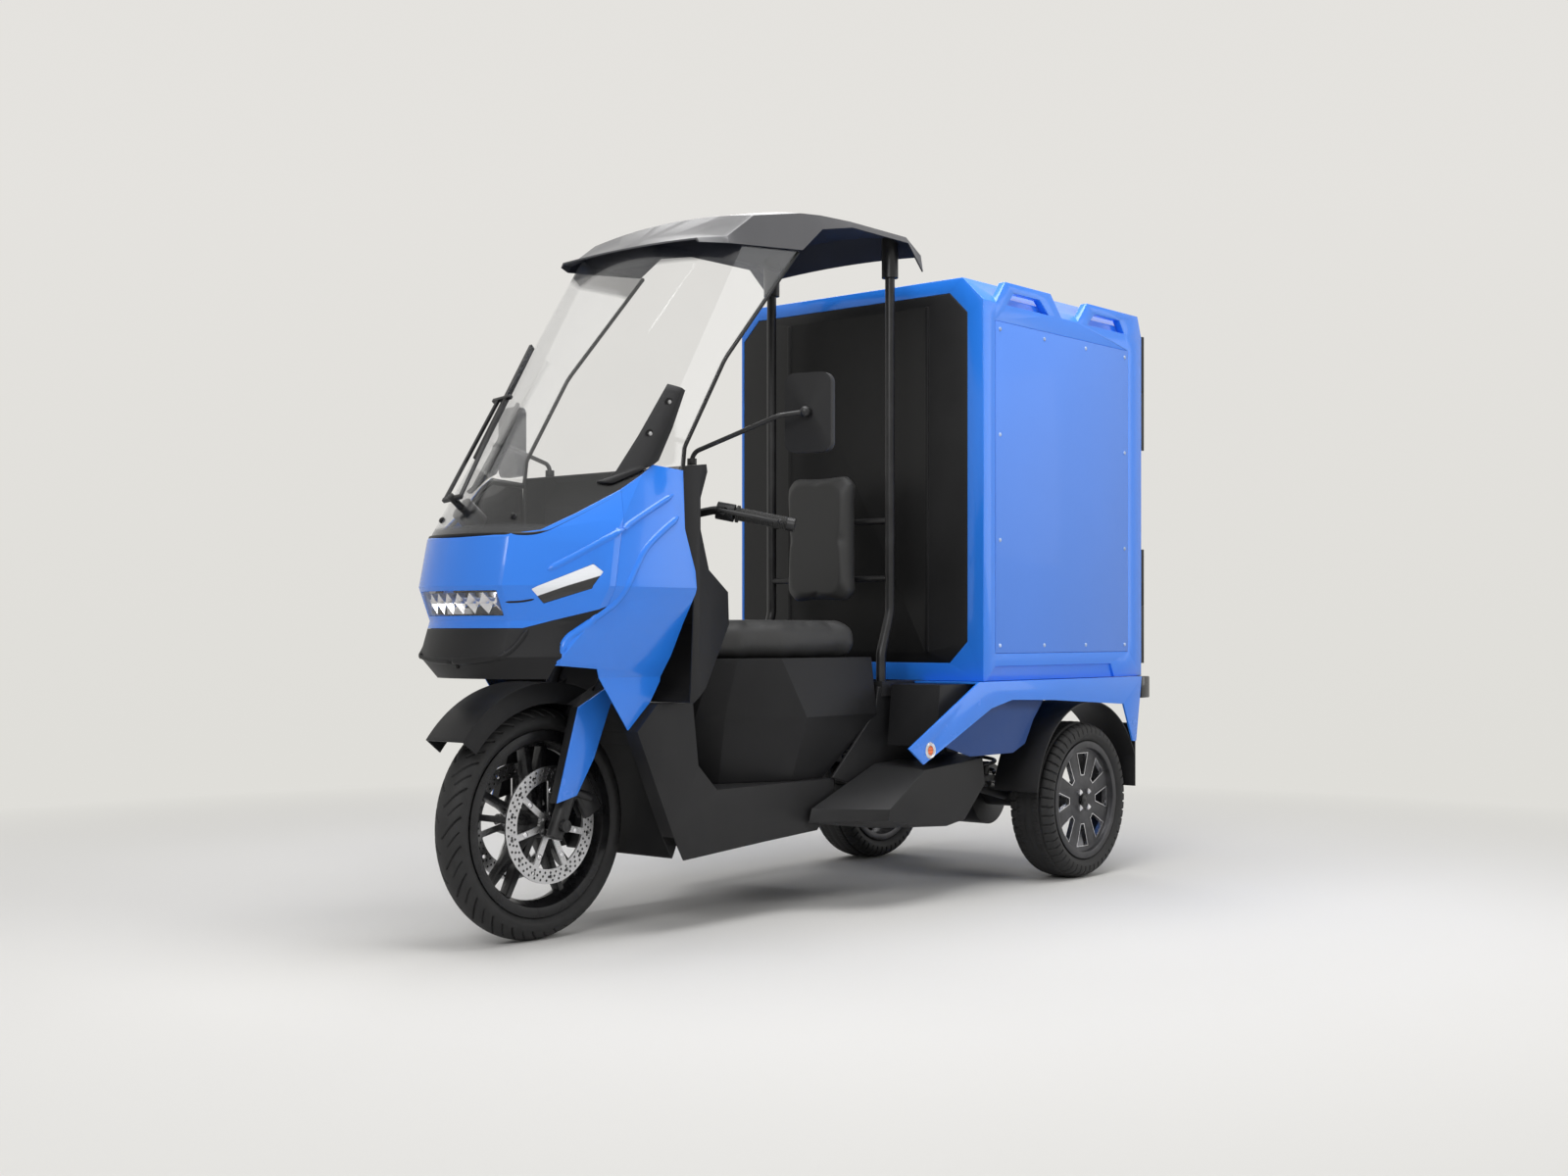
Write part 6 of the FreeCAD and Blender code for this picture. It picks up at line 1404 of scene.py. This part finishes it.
@dataclass
class Screen:
    """Windscreen, its braces, the wiper and its motor."""

    half_sheet: float = 0.002
    rear_edge: tuple[tuple[float, float], ...] = (
        (-0.2965, 1.7705), (-0.586, 1.4547), (-0.7365, 1.2188), (-0.745, 1.1500))
    foot_edge: tuple[tuple[float, float], ...] = (
        (-0.8549, 1.1565), (-0.9618, 1.0800), (-1.0394, 1.0343), (-1.1150, 0.9925))
    front_rail: tuple[tuple[float, float], ...] = (
        (-0.781, 1.371), (-0.874, 1.237), (-0.952, 1.132), (-0.985, 1.119))
    rear_rail: tuple[tuple[float, float], ...] = (
        (-0.745, 1.358), (-0.790, 1.262), (-0.839, 1.178), (-0.955, 1.118))
    brace_rows: int = 24
    brace_columns: int = 6
    brace_gap: float = 0.0045
    brace_crown: float = 0.003
    brace_sheet: float = 0.008
    brace_screws: tuple[tuple[float, float], ...] = ((-0.793, 1.325), (-0.853, 1.243))
    widest: float = 0.2985
    flank_x: float = 0.289
    well_proud: float = 0.0105
    screw_proud: float = 0.0022
    foot_screw_x: float = 0.13
    foot_screw_z: float = 1.035
    foot_z: float = 0.9905
    foot_points: int = 12
    edging_steps: int = 8
    edging_radius: float = 0.0055
    beside: float = 0.6
    ahead: float = -2.0

    def dress(self) -> None:
        """Finish the sheet and what is fixed to it."""
        Workshop.dressed("windscreen", SCREEN)
        for side in Side:
            self.brace(side)
        self.edging()
        Workshop.softened("wiper_arm", BLACK_METAL, 0.0008)
        Workshop.softened("wiper_motor", BLACK_METAL, 0.001)
        self.fasteners()

    def flank(self, sheet: BVHTree, side: Side, y: float, z: float) -> Vector | None:
        """Where the sheet's flank lies on one side."""
        return sheet.ray_cast(Vector((side.value * self.beside, y, z)), Vector((-side.value, 0, 0)))[0]

    def front(self, sheet: BVHTree, x: float, z: float) -> Vector | None:
        """Where the sheet's front lies."""
        return sheet.ray_cast(Vector((x, self.ahead, z)), Vector((0, 1, 0)))[0]

    def fasteners(self) -> None:
        """Screws through the sheet and the braces."""
        sheet = Workshop.surface("windscreen")
        hits = [self.front(sheet, x, self.foot_screw_z) for x in (-self.foot_screw_x, self.foot_screw_x)]
        SCREEN_SCREW.fix("screen_screws", [tuple(hit) for hit in hits if hit], (0.0, -0.8, 0.6))
        for side in Side:
            spots = [(self.flank(sheet, side, y, z), y, z) for y, z in self.brace_screws]
            places = [(hit.x + side.value * self.well_proud, y, z) for hit, y, z in spots if hit]
            facing = (side.value, -0.35, 0.0)
            BRACE_WELL.fix("brace_wells_" + side.word, places, facing)
            proud = [(x + side.value * self.screw_proud, y - 0.0008, z) for x, y, z in places]
            BRACE_SCREW.fix("brace_screws_" + side.word, proud, facing)

    def brace(self, side: Side) -> Piece:
        """A slim blade on the sheet's flank, drawn between two rails and tapering to its foot."""
        sheet = Workshop.surface("windscreen")
        points = []
        front = np.array(self.front_rail)
        rear = np.array(self.rear_rail)
        stations = np.linspace(0.0, 1.0, len(front))
        for row in range(self.brace_rows + 1):
            share = row / self.brace_rows
            first, last = [np.array([np.interp(share, stations, rail[:, axis]) for axis in (0, 1)])
                           for rail in (front, rear)]
            for column in range(self.brace_columns + 1):
                across = column / self.brace_columns
                y, z = first + (last - first) * across
                hit = self.flank(sheet, side, y, z)
                skin = abs(hit.x) if hit else self.flank_x
                crown = self.brace_crown * math.sin(math.pi * across)
                points.append((side.value * min(skin + self.brace_gap + crown, self.widest), y, z))
        faces = grid_faces(self.brace_rows + 1, self.brace_columns + 1)
        piece = Workshop.from_points("screen_brace_" + side.word, points, faces)
        Workshop.thickened(piece, self.brace_sheet)
        Workshop.face_out(piece.data)
        Workshop.rounded(piece, 0.002, 2)
        stands_for = ["screen_brackets"] if side is Side.LEFT else []
        return Workshop.settle(piece, CHARCOAL, "chassis", stands_for)

    def edging(self) -> Piece:
        """The dark bead round the sheet's sides and foot."""
        sheet = Workshop.surface("windscreen")
        edge = self.rear_edge + self.foot_edge
        half = []
        for start, end in zip(edge, edge[1:]):
            for step in range(self.edging_steps):
                y, z = [low + (high - low) * step / self.edging_steps for low, high in zip(start, end)]
                hit = self.flank(sheet, Side.LEFT, y, z)
                if hit:
                    half.append((hit.x - self.half_sheet, hit.y, hit.z))
        reach = half[-1][0]
        for share in np.linspace(0.9, 0.0, self.foot_points):
            hit = self.front(sheet, reach * float(share), self.foot_z)
            if hit:
                half.append(tuple(hit))
        line = half + Side.RIGHT.mirrored(half[-2::-1])
        return Workshop.bead("screen_edging", line, self.edging_radius, BLACK_PANEL)


@dataclass
class Mirrors:
    """Stalks, housings and glasses."""

    def dress(self) -> None:
        """Round the housings and silver the glasses."""
        Workshop.softened("mirror_arms", BLACK_METAL, 0.001)
        for side in Side:
            Workshop.softened("mirror_head_" + side.word, CHARCOAL, 0.006, 3)
            Workshop.dressed("mirror_glass_" + side.word, MIRROR)


@dataclass
class Cushion:
    """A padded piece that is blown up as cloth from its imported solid."""

    node: str
    shrink: float = 0.004
    voxel: float = 0.006
    pressure: float = 4.0
    most: float = 0.014
    frames: int = 20
    rounds: int = 10
    below: float = 0.002
    over: float = 0.004

    def build(self) -> Piece:
        """Copy, remesh, swell, cap the movement and settle the cushion."""
        mesh = frame["nodes"][self.node].data.copy()
        Workshop.face_out(mesh)
        piece = Workshop.link(self.node + "_padded", mesh)
        remesh = piece.modifiers.new("even", "REMESH")
        remesh.mode = "VOXEL"
        remesh.voxel_size = self.voxel
        Workshop.baked(piece)
        normals = [vertex.normal.copy() for vertex in piece.data.vertices]
        for vertex, normal in zip(piece.data.vertices, normals):
            vertex.co -= normal * self.shrink
        self.ease(piece)
        self.swell(piece)
        self.ease(piece)
        divide = piece.modifiers.new("fine", "SUBSURF")
        divide.levels = 1
        divide.render_levels = 1
        Workshop.baked(piece)
        Workshop.smooth(piece.data, 180.0)
        Workshop.settle(piece, SEAT_VINYL, body_of(self.node), [self.node])
        return piece

    def ease(self, piece: Piece) -> None:
        """Smooth the cushion's surface a few times over."""
        work = bmesh.new()
        work.from_mesh(piece.data)
        for _ in range(self.rounds):
            bmesh.ops.smooth_vert(work, verts=work.verts, factor=0.5, use_axis_x=True, use_axis_y=True,
                                  use_axis_z=True)
        work.to_mesh(piece.data)
        work.free()

    def swell(self, piece: Piece) -> None:
        """Blow the piece up as cloth, and keep each point near where it began."""
        count = len(piece.data.vertices)
        before = np.empty(count * 3)
        piece.data.vertices.foreach_get("co", before)
        cloth = piece.modifiers.new("swelling", "CLOTH")
        settings = {"quality": 6, "mass": 0.3, "tension_stiffness": 20.0, "compression_stiffness": 20.0,
                    "bending_stiffness": 1.5, "use_pressure": True,
                    "uniform_pressure_force": self.pressure}
        for key, value in settings.items():
            setattr(cloth.settings, key, value)
        cloth.settings.effector_weights.gravity = 0.0
        cloth.collision_settings.use_collision = False
        cloth.point_cache.frame_start = 1
        cloth.point_cache.frame_end = self.frames
        for number in range(1, self.frames + 1):
            bpy.context.scene.frame_set(number)
        graph = bpy.context.evaluated_depsgraph_get()
        swollen = piece.evaluated_get(graph).to_mesh()
        after = np.empty(count * 3)
        swollen.vertices.foreach_get("co", after)
        move = (after - before).reshape(-1, 3)
        length = np.maximum(np.linalg.norm(move, axis=1, keepdims=True), 1e-9)
        move *= np.minimum(1.0, self.most / length)
        low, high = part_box(self.node)
        least = np.array(low) - self.below
        placed = np.clip(before.reshape(-1, 3) + move, least, np.array(high) + self.over)
        piece.modifiers.clear()
        piece.data.vertices.foreach_set("co", placed.ravel())
        piece.data.update()
        bpy.context.scene.frame_set(1)


@dataclass
class Saddle:
    """Seat, backrest, seat base, floor and battery."""

    mat_half: float = 0.16
    mat_from: float = -0.70
    mat_to: float = -0.49
    rib_count: int = 13
    rib_width: float = 0.007
    rib_height: float = 0.006
    flank_near: float = 0.232
    flank_far: float = 0.242
    flank_outline: tuple[tuple[float, float], ...] = (
        (-0.09, 0.358), (0.105, 0.535), (0.12, 0.606), (0.30, 0.606), (0.30, 0.40), (0.0, 0.335))

    def dress(self) -> None:
        """Pad the cushions and finish what is under them."""
        Cushion("seat_cushion").build()
        Cushion("backrest_cushion", shrink=0.003, voxel=0.005, most=0.010).build()
        Workshop.soften(("seat_base", CHARCOAL, 0.022, 5), ("floor_pan", CHARCOAL, 0.012, 4),
                        ("battery_pack", BLACK_METAL, 0.003))
        self.floor_ribs()
        self.flank_panels()

    def flank_panels(self) -> None:
        """Thin covers that close the flanks between the seat base and the cargo box."""
        for side in Side:
            name = "flank_panel_" + side.word
            piece = Workshop.plate(name, self.flank_outline, side, self.flank_near, self.flank_far)
            Workshop.rounded(piece, 0.003, 3)
            Workshop.settle(piece, CHARCOAL, "chassis")

    def floor_ribs(self) -> Piece:
        """Raised grip ribs across the footwell, one shape repeated back from the legshield."""
        floor = Workshop.surface("floor_pan")
        places = []
        for index in range(self.rib_count):
            y = self.mat_from + (self.mat_to - self.mat_from) * index / (self.rib_count - 1)
            hit = floor.ray_cast(Vector((0.0, y, 0.56)), Vector((0, 0, -1)))[0]
            if hit:
                places.append((0.0, y, hit.z))
        sizes = {"Length": 2 * self.mat_half, "Wide": self.rib_width, "High": self.rib_height}
        tree = Repeats("floor_ribs_tree", sizes)
        size = tree.node("ShaderNodeCombineXYZ", None, dict(enumerate(sizes)))
        bar = tree.node("GeometryNodeMeshCube", None, {"Size": size.outputs[0]})
        return tree.run("floor_ribs", tree.spread(bar.outputs[0]), places, CHARCOAL, "chassis", 30.0)


@dataclass
class Canopy:
    """Posts and roof."""

    def dress(self) -> None:
        """Finish the posts and round the roof's edges."""
        Workshop.dressed("canopy_posts", BLACK_METAL)
        Workshop.softened("roof_shell", CANOPY, 0.012, 4)


@dataclass
class CargoBox:
    """Box body, panels, rivets, door, hinges and handle."""

    panel_face: float = 0.463
    panel_front: float = 0.387
    panel_back: float = 1.145
    panel_low: float = 0.70
    panel_high: float = 1.66
    inset: float = 0.022

    def dress(self) -> None:
        """Finish every panel and set the rivets."""
        # the side panels' pale blue is partly painted sheen
        Workshop.soften(("cargo_box_shell", AZURE, 0.004, 3), ("box_side_panels", PANEL_BLUE_AND_SHEEN, 0.0015),
                        ("box_front_panel", BLACK_PANEL, 0.003))
        Workshop.dressed("cargo_door", AZURE)
        Workshop.soften(("hinge_fixed", BLACK_METAL, 0.001), ("hinge_moving", BLACK_METAL, 0.001),
                        ("door_handle", CHARCOAL, 0.002))
        for side in Side:
            PANEL_RIVET.fix("panel_rivets_" + side.word, self.rivet_places(side), (side.value, 0, 0))

    def rivet_places(self, side: Side) -> list[Point]:
        """Four rivets along the top and the bottom, and two up each end."""
        x = side.value * self.panel_face
        ys = np.linspace(self.panel_front + self.inset, self.panel_back - self.inset, 4)
        zs = np.linspace(self.panel_low + self.inset, self.panel_high - self.inset, 4)
        rows = [(x, float(y), float(z)) for z in (zs[0], zs[-1]) for y in ys]
        ends = [(x, float(y), float(z)) for z in zs[1:-1] for y in (ys[0], ys[-1])]
        return rows + ends


@dataclass
class RearEnd:
    """Mudguards, liners, lamps, side cases, springs, swing arm and frame."""

    spring_top: Point = (0.0, 0.621, 0.5676)
    spring_kept: float = 0.945
    reflector_centre: Point = (0.4784, 0.043, 0.437)
    reflector_radius: float = 0.019
    ring_steps: int = 40
    ring_section: tuple[tuple[float, float], ...] = (
        (-0.006, -0.004), (0.004, -0.004), (0.004, 0.0005), (0.001, 0.0035), (-0.004, 0.003),
        (-0.006, 0.001))
    arch_near: float = 0.430
    arch_far: float = 0.436
    arch_outline: tuple[tuple[float, float], ...] = (
        (0.17, 0.44), (0.27, 0.55), (0.33, 0.6135), (0.715, 0.6135), (0.69, 0.56), (0.63, 0.50),
        (0.585, 0.43), (0.52, 0.405), (0.30, 0.405))

    def dress(self) -> None:
        """Finish the rear end's panels and metal."""
        Workshop.soften(("rear_fenders", AZURE, 0.004, 3), ("rear_inner_panels", CHARCOAL, 0.003),
                        ("side_cases", CHARCOAL, 0.006, 3), ("tail_lamps", TAIL_LENS, 0.003))
        springs = Workshop.copied("shock_springs", BLACK_METAL)
        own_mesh(springs)
        Workshop.soften(("shock_bodies", CHARCOAL, 0.001), ("swing_arm", BLACK_METAL, 0.002))
        Workshop.dressed("main_frame", FRAME_METAL)
        Workshop.softened("side_reflectors", AMBER_LENS, 0.001)
        for side in Side:
            self.reflector_ring(side)
            self.arch_panel(side)

    def arch_panel(self, side: Side) -> Piece:
        """The inner panel that hangs from the mudguard's lid between the arm and the wheel arch."""
        name = "arch_panel_" + side.word
        piece = Workshop.plate(name, self.arch_outline, side, self.arch_near, self.arch_far)
        Workshop.rounded(piece, 0.002, 2)
        # its dark blue is painted shade for the recess
        return Workshop.settle(piece, SHADED_BLUE, "chassis")

    def reflector_ring(self, side: Side) -> Piece:
        """The bright rim round a side reflector, turned from a small section."""
        x, y, z = self.reflector_centre
        points = []
        for index in range(self.ring_steps):
            angle = math.tau * index / self.ring_steps
            for out, proud in self.ring_section:
                reach = self.reflector_radius + out
                points.append((side.value * (x + proud), y + reach * math.sin(angle),
                               z + reach * math.cos(angle)))
        faces = grid_faces(self.ring_steps, len(self.ring_section), closed=True, turned=True)
        piece = Workshop.from_points("reflector_ring_" + side.word, points, faces, 40.0)
        return Workshop.settle(piece, MACHINED, "chassis")


@dataclass(frozen=True)
class Lamp:
    """A soft rectangular lamp that looks at a point, and shows in gloss or not."""

    name: str
    place: Point
    target: Point
    size: tuple[float, float]
    power: float
    mirrored: bool = True

    def build(self) -> None:
        """Hang the lamp and turn it to its target."""
        data = bpy.data.lights.new(self.name, "AREA")
        data.shape = "RECTANGLE"
        data.size, data.size_y = self.size
        data.energy = self.power
        lamp = Workshop.link(self.name, data)
        lamp.location = self.place
        lamp.visible_glossy = self.mirrored
        way = Vector(self.target) - Vector(self.place)
        lamp.rotation_euler = way.to_track_quat("-Z", "Y").to_euler()


@dataclass
class Studio:
    """Pale floor with a curved backdrop, soft lamps and the camera."""

    paper: Colour = (0.66, 0.65, 0.63)
    haze: Colour = (0.74, 0.73, 0.695)
    sky: Colour = (0.78, 0.765, 0.735)
    surround: Colour = (0.755, 0.743, 0.71)
    camera_place: Point = (3.4087, -4.0382, 0.7599)
    camera_turn: float = math.radians(40.25)
    lens: float = 42.04
    lift: float = 0.0284
    fill: Colour = (0.86, 0.87, 0.9)
    fill_strength: float = 0.3
    floor_half: float = 14.0
    floor_front: float = -9.0
    bend_from: float = 5.0
    bend_radius: float = 3.0
    wall_top: float = 9.0
    lamps: tuple[Lamp, ...] = (
        Lamp("overhead", (0.6, -0.2, 4.6), (0.0, -0.2, 0.6), (3.4, 3.4), 185.0),
        Lamp("front_card", (2.2, -5.2, 3.4), (0.0, -0.3, 0.9), (2.2, 1.8), 90.0),
        Lamp("left_card", (4.6, 0.5, 3.3), (0.0, 0.2, 1.0), (2.4, 1.3), 62.0, False),
        Lamp("rear_card", (4.6, 4.4, 1.9), (0.1, 0.3, 0.8), (3.0, 2.6), 28.0),
        Lamp("back_card", (-3.3, 4.0, 4.4), (0.0, 0.0, 1.2), (2.6, 2.2), 60.0),
        Lamp("far_card", (-3.6, -1.1, 4.7), (0.0, -0.9, 1.3), (2.6, 2.4), 35.0, False))

    def build(self) -> None:
        """Set floor, world, lamps and camera."""
        bpy.context.scene.view_settings.view_transform = "Standard"
        self.floor()
        self.world()
        for lamp in self.lamps:
            lamp.build()
        self.camera()

    def floor(self) -> Piece:
        """One sheet that runs back and curves up, square to the camera."""
        turn = self.camera_turn
        ahead = Vector((-math.sin(turn), math.cos(turn), 0.0))
        right = Vector((math.cos(turn), math.sin(turn), 0.0))
        radius = self.bend_radius
        line = [(self.floor_front, 0.0), (3.0, 0.0), (self.bend_from, 0.0)]
        line += [(self.bend_from + radius * math.sin(bend), radius * (1 - math.cos(bend)))
                 for bend in np.linspace(0.1, math.pi / 2, 12)]
        line += [(self.bend_from + radius, self.wall_top)]
        points = []
        for along, height in line:
            for across in (-self.floor_half, self.floor_half):
                spot = ahead * along + right * across
                points.append((spot.x, spot.y, height))
        mesh = bpy.data.meshes.new("studio_floor")
        mesh.from_pydata(points, [], grid_faces(len(line), 2))
        Workshop.smooth(mesh, 60.0)
        piece = Workshop.link("studio_floor", mesh)
        piece.data.materials.append(self.backdrop())
        return piece

    def backdrop(self) -> Material:
        """Matt paper near the vehicle that fades into an even pale glow where the camera sees it."""
        made = bpy.data.materials.new("studio_paper")
        shade = Shade(made)
        across, along, up = shade.axes()
        far = (across * across + along * along).root().above(3.1, 2.4)
        tint = shade.blend(shade.noise(0.6, 2.0), self.paper, toned(self.paper, 1.03))
        paper = shade.surface(base_color=tint, roughness=0.85, specular_ior_level=0.2)
        sky = shade.blend(up.above(2.0, 4.0), self.haze, self.sky)
        glow = shade.node("ShaderNodeEmission", None, {0: sky, 1: 1.0})
        shade.close(shade.layered(shade.seen() * far, paper, glow))
        return made

    def world(self) -> None:
        """An even dim fill, with a pale surround where the camera sees it."""
        world = bpy.data.worlds.new("studio_world")
        shade = Shade(world)
        fill, shown = [shade.node("ShaderNodeBackground", None, {0: (*colour, 1.0), 1: strength})
                       for colour, strength in ((self.fill, self.fill_strength), (self.surround, 1.0))]
        shade.close(shade.layered(shade.seen(), fill, shown))
        bpy.context.scene.world = world

    def camera(self) -> None:
        """The photograph's viewpoint."""
        data = bpy.data.cameras.new("viewpoint")
        data.lens = self.lens
        data.sensor_width = 36.0
        data.shift_y = self.lift
        camera = Workshop.link("viewpoint", data)
        camera.location = self.camera_place
        camera.rotation_euler = (math.pi / 2, 0.0, self.camera_turn)
        bpy.context.scene.camera = camera


def main() -> None:
    """Build and dress the whole vehicle, then the studio."""
    logging.basicConfig(level=logging.INFO, format="%(message)s")
    FrontWheel().dress()
    for side in Side:
        RearWheel(side).build()
    Cockpit().dress()
    Fairing().dress()
    Screen().dress()
    Mirrors().dress()
    Saddle().dress()
    Canopy().dress()
    CargoBox().dress()
    RearEnd().dress()
    Studio().build()


if __name__ == "__main__":
    main()
